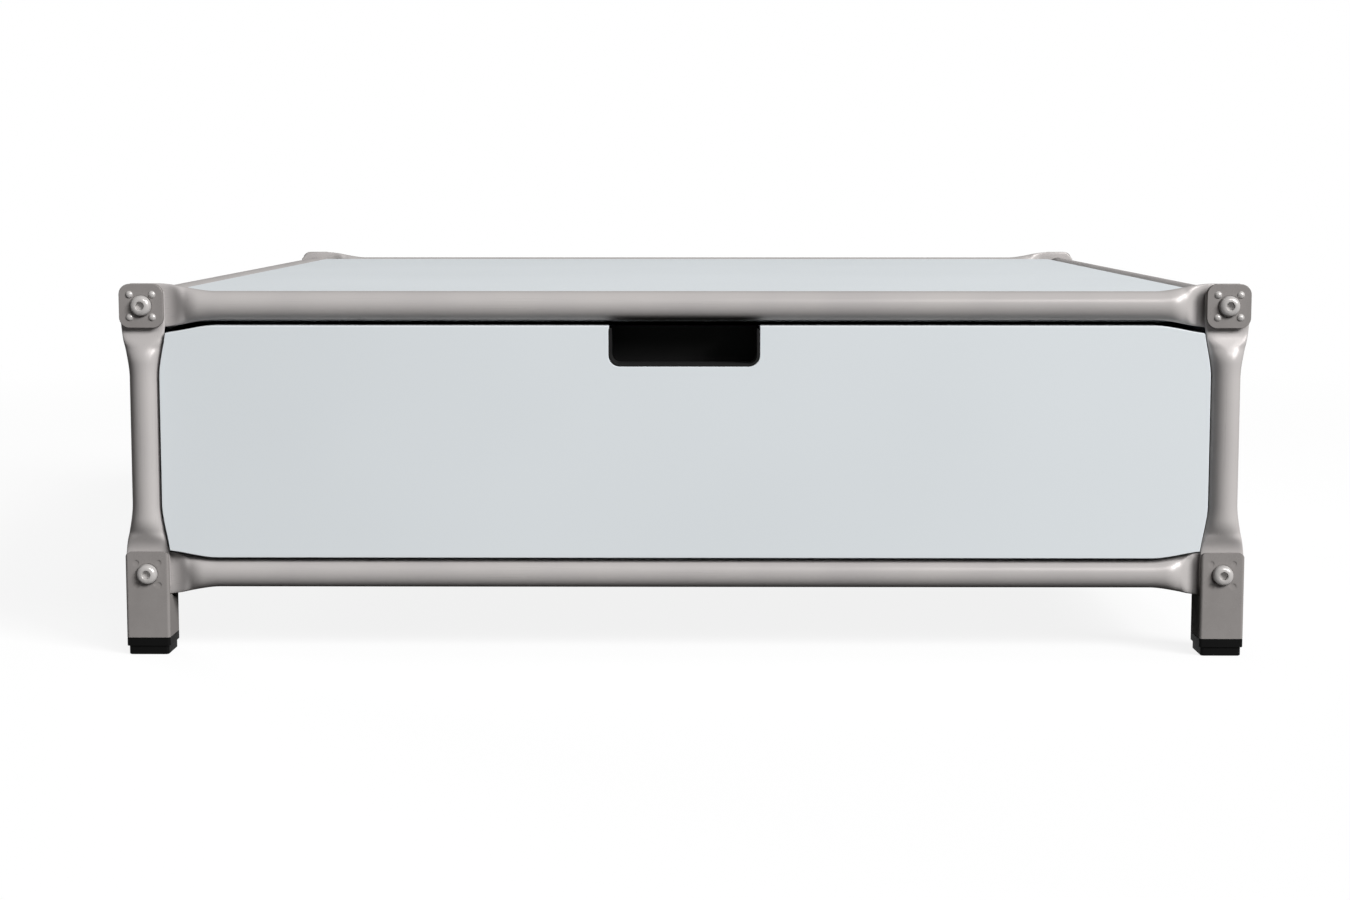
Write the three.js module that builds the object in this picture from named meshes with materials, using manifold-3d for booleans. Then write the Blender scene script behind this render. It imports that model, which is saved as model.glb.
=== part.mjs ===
// Low square coffee table: a bolted frame of steel tubes whose ends are pressed flat, with laminate boards
// set between the tubes and one wide drawer on telescopic runners.
// Millimetres, +Z up, front towards -Y, origin on the floor under the middle of the table.
import * as THREE from "three";
import { mergeVertices } from "three/addons/utils/BufferGeometryUtils.js";
import Module from "manifold-3d";

const wasm = await Module();
wasm.setup();

// Tube frame, measured from node axis to node axis
const bayWidth = 720;
const bayHeight = 180;
const depthTubeLength = 720;
const tubeDiameter = 19;
const tubeWall = 1.6;

// Tube ends, pressed flat around the node screw and swelling back to the round tube
const pressedWidth = 29.2;
const pressedThickness = 3.6;
const tipChamfer = 6;
const flareStart = 9;
const flareEnd = 48;

// Node hardware
const seatGap = 0.2;
const coverThickness = 4;
const coverCornerRadius = 7;
const domeDiameter = 5;
const domeHeight = 1.4;
const domeEdgeDistance = 7.1;
const screwHeadDiameter = 14;
const screwHeadHeight = 4.4;
const screwHeadRim = 0.8;
const screwHeadFlat = 8;
const screwShankDiameter = 8;
const screwLength = 25;
const screwTipChamfer = 1;
const screwHoleClearance = 0.4;
const screwRecessClearance = 0.8;
const screwRecessDepth = 0.6;
const socketAcrossFlats = 5;
const socketDepth = 2.6;
const plugLength = 25;

// Legs and their feet; a foot is one moulding of collar, sole and plug
const legWall = 3;
const legCornerRadius = 2;
const legDrop = 43;
const legTabRise = 15;
const legTabCornerRadius = 4;
const tabHoleDiameter = 5.4;
const footHeight = 11.7;
const footCollarHeight = 5.5;
const footInset = 1.2;
const footChamfer = 1;
const footPlugHeight = 13;
const footPlugGap = 0.3;
const mouldingLap = 0.2;

// Boards and panels, held on pins that stand in the tubes
const boardThickness = 19.5;
const boardBelowTube = 1.2;
const boardGap = 1;
const panelThickness = 16;
const panelGap = 0.6;
const backPanelGap = 1.5;
const pinDiameter = 6;
const pinReach = 9;
const pinClearance = 0.3;
const boardPinFromNode = 110;
const panelPinFromNode = 160;

// Drawer front and its grip
const frontThickness = 19;
const frontBehindCover = 0.8;
const frontTopGap = 3.8;
const frontBottomGap = 1.9;
const frontSideGap = 1.5;
const gripWidth = 100;
const gripDrop = 26.7;
const gripCornerRadius = 7.3;
const gripLining = 1.6;
const gripPocketDepth = 26;
const gripPocketDrop = 46;
const gripPocketMargin = 6;
const gripPocketWall = 2;
const gripPocketBelowEdge = 2;

// Drawer box
const boxSideThickness = 13;
const boxAboveBoard = 9;
const boxBelowFrontEdge = 27.4;
const boxBackGap = 65.8;
const boxBottomThickness = 6;
const boxBottomRise = 9;
const boxGrooveDepth = 6;
const boxGrooveClearance = 0.3;

// Telescopic runners
const runnerSpace = 12.7;
const runnerFrontSetBack = 4;
const runnerRearSetBack = 86;
const runnerRise = 52;
const runnerSheet = 1.2;
const cabinetMemberHeight = 45;
const cabinetMemberDepth = 9.2;
const middleMemberHeight = 37;
const middleMemberDepth = 8;
const middleMemberOffset = 2.5;
const drawerMemberHeight = 27;
const drawerMemberDepth = 7;
const runnerRunningGap = 0.6;

// Fineness of the facets
const ringPoints = 16;
const flareSteps = 5;
const roundFacets = 20;
const smallFacets = 12;
const pinFacets = 8;
const tabHoleFacets = 8;
const domeFacets = 10;
const domeSteps = 2;
const headSteps = 3;
const cornerSteps = 2;
const outlineSteps = 6;
const cornerPasses = 12;
const hexagonSides = 6;
const cutOverrun = 2;
const weldTolerance = 0.001;

// Places worked out from the sizes
const tubeRadius = tubeDiameter / 2;
const nodeX = bayWidth / 2;
const bottomNodeZ = footHeight + legDrop;
const topNodeZ = bottomNodeZ + bayHeight;
const railY = depthTubeLength / 2 + seatGap + pressedThickness / 2;
const postY = railY + pressedThickness + seatGap;
const coverBackY = postY + pressedThickness / 2 + seatGap;
const coverFaceY = coverBackY + coverThickness;
const legFaceY = coverBackY + legWall;
const screwHoleRadius = screwShankDiameter / 2 + screwHoleClearance;
const screwRecessRadius = screwHeadDiameter / 2 + screwRecessClearance;
const domeOffset = pressedWidth / 2 - domeEdgeDistance;
const boardHalfWidth = nodeX - tubeRadius - boardGap;
const boardHalfDepth = railY - tubeRadius - boardGap;
const boardPinSpacing = depthTubeLength - 2 * boardPinFromNode;
const panelPinSpacingX = bayWidth - 2 * panelPinFromNode;
const panelPinSpacingY = depthTubeLength - 2 * panelPinFromNode;
const panelInnerX = nodeX - panelThickness / 2;
const backPanelFaceY = railY - panelThickness / 2;
const frontFaceY = coverFaceY - frontBehindCover;
const frontBackY = frontFaceY - frontThickness;
const frontTopZ = topNodeZ - tubeRadius - frontTopGap;
const boxOuterX = panelInnerX - runnerSpace;
const boxInnerX = boxOuterX - boxSideThickness;
const boxBottomZ = bottomNodeZ + tubeRadius - boardBelowTube + boxAboveBoard;
const boxTopZ = frontTopZ - boxBelowFrontEdge;
const boxFrontY = -(frontBackY - seatGap);
const boxBackY = backPanelFaceY - boxBackGap;
const boxLength = boxBackY - boxFrontY;
const runnerZ = boxBottomZ + runnerRise;
const runnerLength = boxLength - runnerFrontSetBack - runnerRearSetBack;
const runnerCentreY = boxFrontY + runnerFrontSetBack + runnerLength / 2;

// Finishes
const tubeSteel = { color: 0xbab5b0, roughness: 0.32, metalness: 1 };
const plateSteel = { color: 0x8f8a87, roughness: 0.38, metalness: 1 };
const screwSteel = { color: 0xc9c6c3, roughness: 0.22, metalness: 1 };
const runnerSteel = { color: 0xa9adb0, roughness: 0.42, metalness: 1 };
const laminate = { color: 0xd5dadd, roughness: 0.5, metalness: 0 };
const carcassBoard = { color: 0xcdd1d3, roughness: 0.6, metalness: 0 };
const blackPlastic = { color: 0x141414, roughness: 0.5, metalness: 0 };

// A closed geometry as a solid that can be joined and cut
function solidOf(geometry) {
  const bare = geometry.clone();
  bare.deleteAttribute("normal");
  bare.deleteAttribute("uv");
  const welded = mergeVertices(bare, weldTolerance);
  return new wasm.Manifold(
    new wasm.Mesh({
      numProp: 3,
      vertProperties: welded.attributes.position.array,
      triVerts: new Uint32Array(welded.index.array),
    }),
  );
}

// A solid back as a geometry with flat facets
function geometryOf(solid) {
  const mesh = solid.getMesh();
  const geometry = new THREE.BufferGeometry();
  geometry.setAttribute("position", new THREE.BufferAttribute(mesh.vertProperties, 3));
  geometry.setIndex(new THREE.BufferAttribute(mesh.triVerts, 1));
  const faceted = geometry.toNonIndexed();
  faceted.computeVertexNormals();
  return faceted;
}

// A named mesh with its own material
function piece(name, geometry, finish) {
  const mesh = new THREE.Mesh(geometry, new THREE.MeshStandardMaterial(finish));
  mesh.name = name;
  return mesh;
}

// A box between two corners
function boxBetween(low, high) {
  const box = new THREE.BoxGeometry(high.x - low.x, high.y - low.y, high.z - low.z);
  box.translate((low.x + high.x) / 2, (low.y + high.y) / 2, (low.z + high.z) / 2);
  return box;
}

// A shape drawn in X and Z, extruded along Y between two places
function prismAlongY(shape, lowY, highY) {
  const prism = new THREE.ExtrudeGeometry(shape, {
    depth: highY - lowY,
    bevelEnabled: false,
    curveSegments: cornerSteps,
  });
  prism.rotateX(Math.PI / 2);
  prism.translate(0, highY, 0);
  return prism;
}

// A shape drawn in X and Y, extruded along Z between two heights
function prismAlongZ(shape, lowZ, highZ) {
  const prism = new THREE.ExtrudeGeometry(shape, {
    depth: highZ - lowZ,
    bevelEnabled: false,
    curveSegments: cornerSteps,
  });
  prism.translate(0, 0, lowZ);
  return prism;
}

// A round bar along Y between two places, on the axis through x and z
function barAlongY(radius, lowY, highY, x, z, facets = smallFacets) {
  const bar = new THREE.CylinderGeometry(radius, radius, highY - lowY, facets);
  bar.translate(x, (lowY + highY) / 2, z);
  return bar;
}

// A rectangle with rounded corners, given by its low and high corner
function roundedRectangle(lowX, lowY, highX, highY, radius) {
  const shape = new THREE.Shape();
  shape.moveTo(lowX + radius, lowY);
  shape.lineTo(highX - radius, lowY);
  shape.absarc(highX - radius, lowY + radius, radius, -Math.PI / 2, 0);
  shape.lineTo(highX, highY - radius);
  shape.absarc(highX - radius, highY - radius, radius, 0, Math.PI / 2);
  shape.lineTo(lowX + radius, highY);
  shape.absarc(lowX + radius, highY - radius, radius, Math.PI / 2, Math.PI);
  shape.lineTo(lowX, lowY + radius);
  shape.absarc(lowX + radius, lowY + radius, radius, Math.PI, 1.5 * Math.PI);
  return shape;
}

// Half the width of a tube in its pressed plane, at a distance from the node axis
function halfWidthAt(distance) {
  const share = THREE.MathUtils.smoothstep(distance, flareStart, flareEnd);
  return THREE.MathUtils.lerp(pressedWidth / 2, tubeRadius, share);
}

// Half the thickness of a tube across its pressed plane, which swells only past the edge of the crossing tube
function halfThicknessAt(distance) {
  const share = THREE.MathUtils.smoothstep(distance, pressedWidth / 2, flareEnd);
  return THREE.MathUtils.lerp(pressedThickness / 2, tubeRadius, share);
}

// Stations along one end of a tube, from its cut tip to the round part
function tubeEndStations() {
  const tip = -pressedWidth / 2;
  const thin = pressedThickness / 2;
  const stations = [
    { along: tip, halfWidth: pressedWidth / 2 - tipChamfer, halfThickness: thin },
    { along: tip + tipChamfer, halfWidth: pressedWidth / 2, halfThickness: thin },
  ];
  stations.push({ along: flareStart, halfWidth: pressedWidth / 2, halfThickness: thin });
  for (let step = 0; step <= flareSteps; step += 1) {
    const along = THREE.MathUtils.lerp(pressedWidth / 2, flareEnd, step / flareSteps);
    stations.push({ along, halfWidth: halfWidthAt(along), halfThickness: halfThicknessAt(along) });
  }
  return stations;
}

// A ring of points round a tube: two half circles joined by flats, which is a circle where the tube is round
function ringAt(x, halfWidth, halfThickness) {
  const flat = halfWidth - halfThickness;
  const ring = [];
  for (let index = 0; index < ringPoints; index += 1) {
    const angle = (2 * Math.PI * (index + 0.5)) / ringPoints;
    const side = Math.sign(Math.cos(angle));
    ring.push(x, -halfThickness * Math.sin(angle), side * flat + halfThickness * Math.cos(angle));
  }
  return ring;
}

// A tube along X with both ends pressed flat in the XZ plane and bored for the node screws
function pressedTube(span) {
  const end = tubeEndStations();
  const rings = [];
  for (const station of end) {
    rings.push(ringAt(station.along - span / 2, station.halfWidth, station.halfThickness));
  }
  for (const station of end.slice().reverse()) {
    rings.push(ringAt(span / 2 - station.along, station.halfWidth, station.halfThickness));
  }
  const triangles = [];
  for (let ring = 0; ring + 1 < rings.length; ring += 1) {
    for (let index = 0; index < ringPoints; index += 1) {
      const next = (index + 1) % ringPoints;
      const a = ring * ringPoints + index;
      const b = ring * ringPoints + next;
      const c = a + ringPoints;
      const d = b + ringPoints;
      triangles.push(a, b, d, a, d, c);
    }
  }
  const last = (rings.length - 1) * ringPoints;
  for (let index = 1; index + 1 < ringPoints; index += 1) {
    triangles.push(0, index + 1, index);
    triangles.push(last, last + index, last + index + 1);
  }
  const skin = new THREE.BufferGeometry();
  skin.setAttribute("position", new THREE.Float32BufferAttribute(rings.flat(), 3));
  skin.setIndex(triangles);
  let tube = solidOf(skin);
  const reach = pressedThickness / 2 + cutOverrun;
  for (const x of [-span / 2, span / 2]) {
    tube = tube.subtract(solidOf(barAlongY(screwHoleRadius, -reach, reach, x, 0)));
  }
  return tube;
}

// A pin that stands in the tube wall and points away from the tube axis, along +X before it is turned
function tubePin() {
  const root = tubeRadius - tubeWall / 2;
  const tip = tubeRadius + pinReach;
  const pin = new THREE.CylinderGeometry(pinDiameter / 2, pinDiameter / 2, tip - root, pinFacets);
  pin.rotateZ(Math.PI / 2);
  pin.translate((root + tip) / 2, 0, 0);
  return pin;
}

// A cross rail; a back rail also has pins that hold the back panel, on the side named by pinSide
function crossRail(pinSide) {
  let rail = pressedTube(bayWidth);
  if (pinSide !== 0) {
    for (const x of [-panelPinSpacingX / 2, panelPinSpacingX / 2]) {
      const pin = tubePin();
      pin.rotateY((-pinSide * Math.PI) / 2);
      pin.translate(x, 0, 0);
      rail = rail.add(solidOf(pin));
    }
  }
  return geometryOf(rail);
}

// An upright between two nodes
function cornerPost() {
  const post = geometryOf(pressedTube(bayHeight));
  post.rotateY(-Math.PI / 2);
  return post;
}

// A plain round tube from the front nodes to the back nodes, with pins for a board and for a side panel
function depthTube(inward, panelSide) {
  const bore = tubeRadius - tubeWall;
  const half = depthTubeLength / 2;
  const profile = [
    new THREE.Vector2(tubeRadius, -half),
    new THREE.Vector2(tubeRadius, half),
    new THREE.Vector2(bore, half),
    new THREE.Vector2(bore, -half),
    new THREE.Vector2(tubeRadius, -half),
  ];
  let tube = solidOf(new THREE.LatheGeometry(profile, roundFacets));
  for (const end of [-1, 1]) {
    const boardPin = tubePin();
    boardPin.rotateY(inward > 0 ? 0 : Math.PI);
    boardPin.translate(0, (end * boardPinSpacing) / 2, 0);
    const panelPin = tubePin();
    panelPin.rotateY((-panelSide * Math.PI) / 2);
    panelPin.translate(0, (end * panelPinSpacingY) / 2, 0);
    tube = tube.add(solidOf(boardPin)).add(solidOf(panelPin));
  }
  return geometryOf(tube);
}

// The threaded plug pressed into the end of a depth tube, bored for the node screw
function threadPlug() {
  const outer = tubeRadius - tubeWall - seatGap;
  const bore = screwShankDiameter / 2 + seatGap;
  const profile = [
    new THREE.Vector2(outer, 0),
    new THREE.Vector2(outer, plugLength),
    new THREE.Vector2(bore, plugLength),
    new THREE.Vector2(bore, 0),
    new THREE.Vector2(outer, 0),
  ];
  return new THREE.LatheGeometry(profile, smallFacets);
}

// A button head screw pointing along +Y, with its head's seat at Y 0
function nodeScrew() {
  const headRadius = screwHeadDiameter / 2;
  const flatRadius = screwHeadFlat / 2;
  const shankRadius = screwShankDiameter / 2;
  const profile = [new THREE.Vector2(0, -screwHeadHeight)];
  for (let step = 0; step <= headSteps; step += 1) {
    const angle = (step / headSteps) * (Math.PI / 2);
    const radius = THREE.MathUtils.lerp(flatRadius, headRadius, Math.sin(angle));
    const height = THREE.MathUtils.lerp(screwHeadRim, screwHeadHeight, Math.cos(angle));
    profile.push(new THREE.Vector2(radius, -height));
  }
  profile.push(
    new THREE.Vector2(headRadius, 0),
    new THREE.Vector2(shankRadius, 0),
    new THREE.Vector2(shankRadius, screwLength - screwTipChamfer),
    new THREE.Vector2(shankRadius - screwTipChamfer, screwLength),
    new THREE.Vector2(0, screwLength),
  );
  const screw = solidOf(new THREE.LatheGeometry(profile, smallFacets));
  const socketRadius = socketAcrossFlats / 2 / Math.cos(Math.PI / hexagonSides);
  const socketHeight = socketDepth + cutOverrun;
  const socket = new THREE.CylinderGeometry(socketRadius, socketRadius, socketHeight, hexagonSides);
  socket.translate(0, -screwHeadHeight + (socketDepth - cutOverrun) / 2, 0);
  return geometryOf(screw.subtract(solidOf(socket)));
}

// The hole for a node screw with a shallow recess round the screw's head, through a wall whose outside is Y 0
function screwSeat(wall) {
  const hole = barAlongY(screwHoleRadius, -cutOverrun, wall + cutOverrun, 0, 0);
  const recess = barAlongY(screwRecessRadius, -cutOverrun, screwRecessDepth, 0, 0);
  return solidOf(hole).add(solidOf(recess));
}

// The four places round a node screw where a cover plate has its domes and a leg tab its holes
function aroundScrew() {
  const places = [];
  for (const x of [-domeOffset, domeOffset]) {
    for (const z of [-domeOffset, domeOffset]) {
      places.push({ x, z });
    }
  }
  return places;
}

// One domed boss on a cover plate, rising towards -Y from Y 0
function coverDome() {
  const baseRadius = domeDiameter / 2;
  const sphereRadius = (baseRadius ** 2 + domeHeight ** 2) / (2 * domeHeight);
  const openAngle = Math.asin(baseRadius / sphereRadius);
  const profile = [new THREE.Vector2(0, -domeHeight)];
  for (let step = 1; step <= domeSteps; step += 1) {
    const angle = (openAngle * step) / domeSteps;
    const radius = sphereRadius * Math.sin(angle);
    const height = domeHeight - sphereRadius * (1 - Math.cos(angle));
    profile.push(new THREE.Vector2(radius, -height));
  }
  profile.push(new THREE.Vector2(baseRadius, coverThickness / 2), new THREE.Vector2(0, coverThickness / 2));
  return new THREE.LatheGeometry(profile, domeFacets);
}

// The square cover of a top node, with four domes round the screw; its outer face is at Y 0
function coverPlate() {
  const half = pressedWidth / 2;
  const outline = roundedRectangle(-half, -half, half, half, coverCornerRadius);
  let plate = solidOf(prismAlongY(outline, 0, coverThickness));
  for (const place of aroundScrew()) {
    const dome = coverDome();
    dome.translate(place.x, 0, place.z);
    plate = plate.add(solidOf(dome));
  }
  return geometryOf(plate.subtract(screwSeat(coverThickness)));
}

// A leg: square tube under the node, its front wall rising over the node as a tab with four round holes;
// outer face at Y 0
function leg() {
  const half = pressedWidth / 2;
  const shoulder = -half - seatGap;
  const outline = roundedRectangle(-half, 0, half, pressedWidth, legCornerRadius);
  const bore = new THREE.Path();
  bore.moveTo(-half + legWall, legWall);
  bore.lineTo(-half + legWall, pressedWidth - legWall);
  bore.lineTo(half - legWall, pressedWidth - legWall);
  bore.lineTo(half - legWall, legWall);
  bore.lineTo(-half + legWall, legWall);
  outline.holes.push(bore);
  const tube = prismAlongZ(outline, -legDrop, shoulder);
  const tab = new THREE.Shape();
  tab.moveTo(-half + legCornerRadius, shoulder - legWall);
  tab.lineTo(half - legCornerRadius, shoulder - legWall);
  tab.lineTo(half, shoulder - legWall + legCornerRadius);
  tab.lineTo(half, legTabRise - legTabCornerRadius);
  tab.absarc(half - legTabCornerRadius, legTabRise - legTabCornerRadius, legTabCornerRadius, 0, Math.PI / 2);
  tab.lineTo(-half + legTabCornerRadius, legTabRise);
  tab.absarc(
    -half + legTabCornerRadius,
    legTabRise - legTabCornerRadius,
    legTabCornerRadius,
    Math.PI / 2,
    Math.PI,
  );
  tab.lineTo(-half, shoulder - legWall + legCornerRadius);
  const plate = prismAlongY(tab, 0, legWall);
  let stand = solidOf(tube).add(solidOf(plate)).subtract(screwSeat(legWall));
  for (const place of aroundScrew()) {
    const hole = barAlongY(
      tabHoleDiameter / 2,
      -cutOverrun,
      legWall + cutOverrun,
      place.x,
      place.z,
      tabHoleFacets,
    );
    stand = stand.subtract(solidOf(hole));
  }
  return geometryOf(stand);
}

// A plastic foot: collar under the leg, a smaller sole with a chamfered edge, and a plug inside the leg
function foot() {
  const half = pressedWidth / 2;
  const collar = roundedRectangle(-half, 0, half, pressedWidth, legCornerRadius);
  const soleHalf = half - footInset;
  const sole = roundedRectangle(-soleHalf, footInset, soleHalf, pressedWidth - footInset, legCornerRadius);
  const treadHalf = soleHalf - footChamfer;
  const treadInset = footInset + footChamfer;
  const tread = roundedRectangle(-treadHalf, treadInset, treadHalf, pressedWidth - treadInset, legCornerRadius);
  const plugHalf = half - legWall - footPlugGap;
  const plugInset = legWall + footPlugGap;
  const collarTop = footHeight - seatGap;
  const collarFoot = collarTop - footCollarHeight;
  let solid = solidOf(prismAlongZ(collar, collarFoot, collarTop));
  solid = solid.add(solidOf(prismAlongZ(sole, footChamfer, collarFoot + mouldingLap)));
  solid = solid.add(solidOf(prismAlongZ(tread, 0, footChamfer + mouldingLap)));
  const plug = boxBetween(
    new THREE.Vector3(-plugHalf, plugInset, collarTop - mouldingLap),
    new THREE.Vector3(plugHalf, pressedWidth - plugInset, collarTop + footPlugHeight),
  );
  return geometryOf(solid.add(solidOf(plug)));
}

// A board that lies between four tubes on their pins; its top face is at Z 0
function tableBoard() {
  let board = solidOf(
    boxBetween(
      new THREE.Vector3(-boardHalfWidth, -boardHalfDepth, -boardThickness),
      new THREE.Vector3(boardHalfWidth, boardHalfDepth, 0),
    ),
  );
  const slotHalf = pinDiameter / 2 + pinClearance;
  const slotTop = boardBelowTube - tubeRadius + pinDiameter / 2 + seatGap;
  const slotInnerX = nodeX - tubeRadius - pinReach - pinClearance;
  for (const side of [-1, 1]) {
    for (const y of [-boardPinSpacing / 2, boardPinSpacing / 2]) {
      const near = side * slotInnerX;
      const far = side * (boardHalfWidth + cutOverrun);
      const slot = boxBetween(
        new THREE.Vector3(Math.min(near, far), y - slotHalf, -boardThickness - cutOverrun),
        new THREE.Vector3(Math.max(near, far), y + slotHalf, slotTop),
      );
      board = board.subtract(solidOf(slot));
    }
  }
  return geometryOf(board);
}

// A hole for a panel pin, drilled along Z into a panel edge; edge is +1 for the top edge and -1 for the bottom
function panelPinHole(edge, x, y, edgeZ, gap) {
  const depth = pinReach - gap + pinClearance;
  const radius = pinDiameter / 2 + pinClearance;
  const hole = new THREE.CylinderGeometry(radius, radius, depth + cutOverrun, pinFacets);
  hole.rotateX(Math.PI / 2);
  hole.translate(x, y, edgeZ + (edge * (cutOverrun - depth)) / 2);
  return hole;
}

// A side panel between the two depth tubes of one side, centred on their axes
function sidePanel() {
  const halfDepth = postY - tubeRadius - panelGap;
  const lowZ = bottomNodeZ + tubeRadius + panelGap;
  const highZ = topNodeZ - tubeRadius - panelGap;
  let panel = solidOf(
    boxBetween(
      new THREE.Vector3(-panelThickness / 2, -halfDepth, lowZ),
      new THREE.Vector3(panelThickness / 2, halfDepth, highZ),
    ),
  );
  for (const y of [-panelPinSpacingY / 2, panelPinSpacingY / 2]) {
    panel = panel.subtract(solidOf(panelPinHole(1, 0, y, highZ, panelGap)));
    panel = panel.subtract(solidOf(panelPinHole(-1, 0, y, lowZ, panelGap)));
  }
  return geometryOf(panel);
}

// The outline that fits between two posts and two rails and follows their flared ends at the given gaps
function bayOutline(topGap, bottomGap, sideGap) {
  const edgeZ = { top: topNodeZ, bottom: bottomNodeZ };
  const inward = { top: -1, bottom: 1 };
  const gap = { top: topGap, bottom: bottomGap };
  const railEdge = (end, fromNode) => edgeZ[end] + inward[end] * (halfWidthAt(fromNode) + gap[end]);
  const postEdge = (fromNode) => nodeX - halfWidthAt(fromNode) - sideGap;
  const quarter = (end) => {
    let x = postEdge(0);
    let z = railEdge(end, 0);
    for (let pass = 0; pass < cornerPasses; pass += 1) {
      z = railEdge(end, nodeX - x);
      x = postEdge(Math.abs(z - edgeZ[end]));
    }
    const points = [];
    const postStart = Math.abs(z - edgeZ[end]);
    for (let step = outlineSteps; step > 0; step -= 1) {
      const fromNode = THREE.MathUtils.lerp(postStart, flareEnd, step / outlineSteps);
      points.push(new THREE.Vector2(postEdge(fromNode), edgeZ[end] + inward[end] * fromNode));
    }
    points.push(new THREE.Vector2(x, z));
    for (let step = 1; step <= outlineSteps; step += 1) {
      const fromNode = THREE.MathUtils.lerp(nodeX - x, flareEnd, step / outlineSteps);
      points.push(new THREE.Vector2(nodeX - fromNode, railEdge(end, fromNode)));
    }
    return points;
  };
  const flipped = (points) => points.map((point) => new THREE.Vector2(-point.x, point.y));
  const top = quarter("top");
  const bottom = quarter("bottom");
  return new THREE.Shape([...top, ...flipped(top).reverse(), ...flipped(bottom), ...bottom.reverse()]);
}

// The back panel, fixed between the back posts and rails on the rails' pins, centred on Y 0
function backPanel() {
  const outline = bayOutline(backPanelGap, backPanelGap, backPanelGap);
  let panel = solidOf(prismAlongY(outline, -panelThickness / 2, panelThickness / 2));
  const lowZ = bottomNodeZ + tubeRadius + backPanelGap;
  const highZ = topNodeZ - tubeRadius - backPanelGap;
  for (const x of [-panelPinSpacingX / 2, panelPinSpacingX / 2]) {
    panel = panel.subtract(solidOf(panelPinHole(1, x, 0, highZ, backPanelGap)));
    panel = panel.subtract(solidOf(panelPinHole(-1, x, 0, lowZ, backPanelGap)));
  }
  return geometryOf(panel);
}

// The outline of the grip notch, drawn down from a height, made smaller on its sides and bottom by an inset
function gripOutline(topZ, inset) {
  const half = gripWidth / 2 - inset;
  const lowZ = frontTopZ - gripDrop + inset;
  const radius = gripCornerRadius - inset;
  const shape = new THREE.Shape();
  shape.moveTo(-half, topZ);
  shape.lineTo(-half, lowZ + radius);
  shape.absarc(-half + radius, lowZ + radius, radius, Math.PI, 1.5 * Math.PI);
  shape.lineTo(half - radius, lowZ);
  shape.absarc(half - radius, lowZ + radius, radius, 1.5 * Math.PI, 2 * Math.PI);
  shape.lineTo(half, topZ);
  return shape;
}

// The drawer front, notched for the grip in the middle of its top edge
function drawerFront() {
  const outline = bayOutline(frontTopGap, frontBottomGap, frontSideGap);
  const front = solidOf(prismAlongY(outline, -frontFaceY, -frontBackY));
  const notch = gripOutline(frontTopZ + cutOverrun, -seatGap);
  const cut = prismAlongY(notch, -frontFaceY - cutOverrun, -frontBackY + cutOverrun);
  return geometryOf(front.subtract(solidOf(cut)));
}

// The black grip: a lining in the notch and a pocket behind it, open at the front and on top
function gripCup() {
  const pocketFrontY = -frontBackY + seatGap;
  const pocketBackY = pocketFrontY + gripPocketDepth;
  const pocketHalf = gripWidth / 2 + gripPocketMargin;
  const pocketTopZ = frontTopZ - gripPocketBelowEdge;
  const pocketLowZ = frontTopZ - gripPocketDrop;
  const lining = prismAlongY(gripOutline(pocketTopZ, 0), -frontFaceY, pocketFrontY + gripPocketWall / 2);
  const pocket = boxBetween(
    new THREE.Vector3(-pocketHalf, pocketFrontY, pocketLowZ),
    new THREE.Vector3(pocketHalf, pocketBackY, pocketTopZ),
  );
  const hollow = boxBetween(
    new THREE.Vector3(-pocketHalf + gripPocketWall, pocketFrontY + gripPocketWall, pocketLowZ + gripPocketWall),
    new THREE.Vector3(pocketHalf - gripPocketWall, pocketBackY - gripPocketWall, pocketTopZ + cutOverrun),
  );
  const mouth = prismAlongY(
    gripOutline(pocketTopZ + cutOverrun, gripLining),
    -frontFaceY - cutOverrun,
    pocketFrontY + gripPocketWall + cutOverrun,
  );
  const cup = solidOf(lining).add(solidOf(pocket)).subtract(solidOf(hollow)).subtract(solidOf(mouth));
  return geometryOf(cup);
}

// A drawer side with a groove for the bottom, drawn for the right-hand side
function drawerSide() {
  const grooveLowZ = boxBottomZ + boxBottomRise;
  const grooveHighZ = grooveLowZ + boxBottomThickness + 2 * boxGrooveClearance;
  const grooveX = boxInnerX + boxGrooveDepth;
  const section = new THREE.Shape([
    new THREE.Vector2(boxInnerX, boxBottomZ),
    new THREE.Vector2(boxOuterX, boxBottomZ),
    new THREE.Vector2(boxOuterX, boxTopZ),
    new THREE.Vector2(boxInnerX, boxTopZ),
    new THREE.Vector2(boxInnerX, grooveHighZ),
    new THREE.Vector2(grooveX, grooveHighZ),
    new THREE.Vector2(grooveX, grooveLowZ),
    new THREE.Vector2(boxInnerX, grooveLowZ),
  ]);
  return prismAlongY(section, -boxLength / 2, boxLength / 2);
}

// The drawer bottom, which slides into the grooves of both sides and ends under the drawer back
function drawerBottom() {
  const half = boxInnerX + boxGrooveDepth - boxGrooveClearance;
  const lowZ = boxBottomZ + boxBottomRise + boxGrooveClearance;
  return boxBetween(
    new THREE.Vector3(-half, boxFrontY, lowZ),
    new THREE.Vector3(half, boxBackY, lowZ + boxBottomThickness),
  );
}

// The drawer back, standing on the bottom between the sides
function drawerBack() {
  const half = boxInnerX - seatGap;
  const lowZ = boxBottomZ + boxBottomRise + boxBottomThickness + 2 * boxGrooveClearance;
  return boxBetween(
    new THREE.Vector3(-half, boxBackY - boxSideThickness, lowZ),
    new THREE.Vector3(half, boxBackY, boxTopZ),
  );
}

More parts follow.
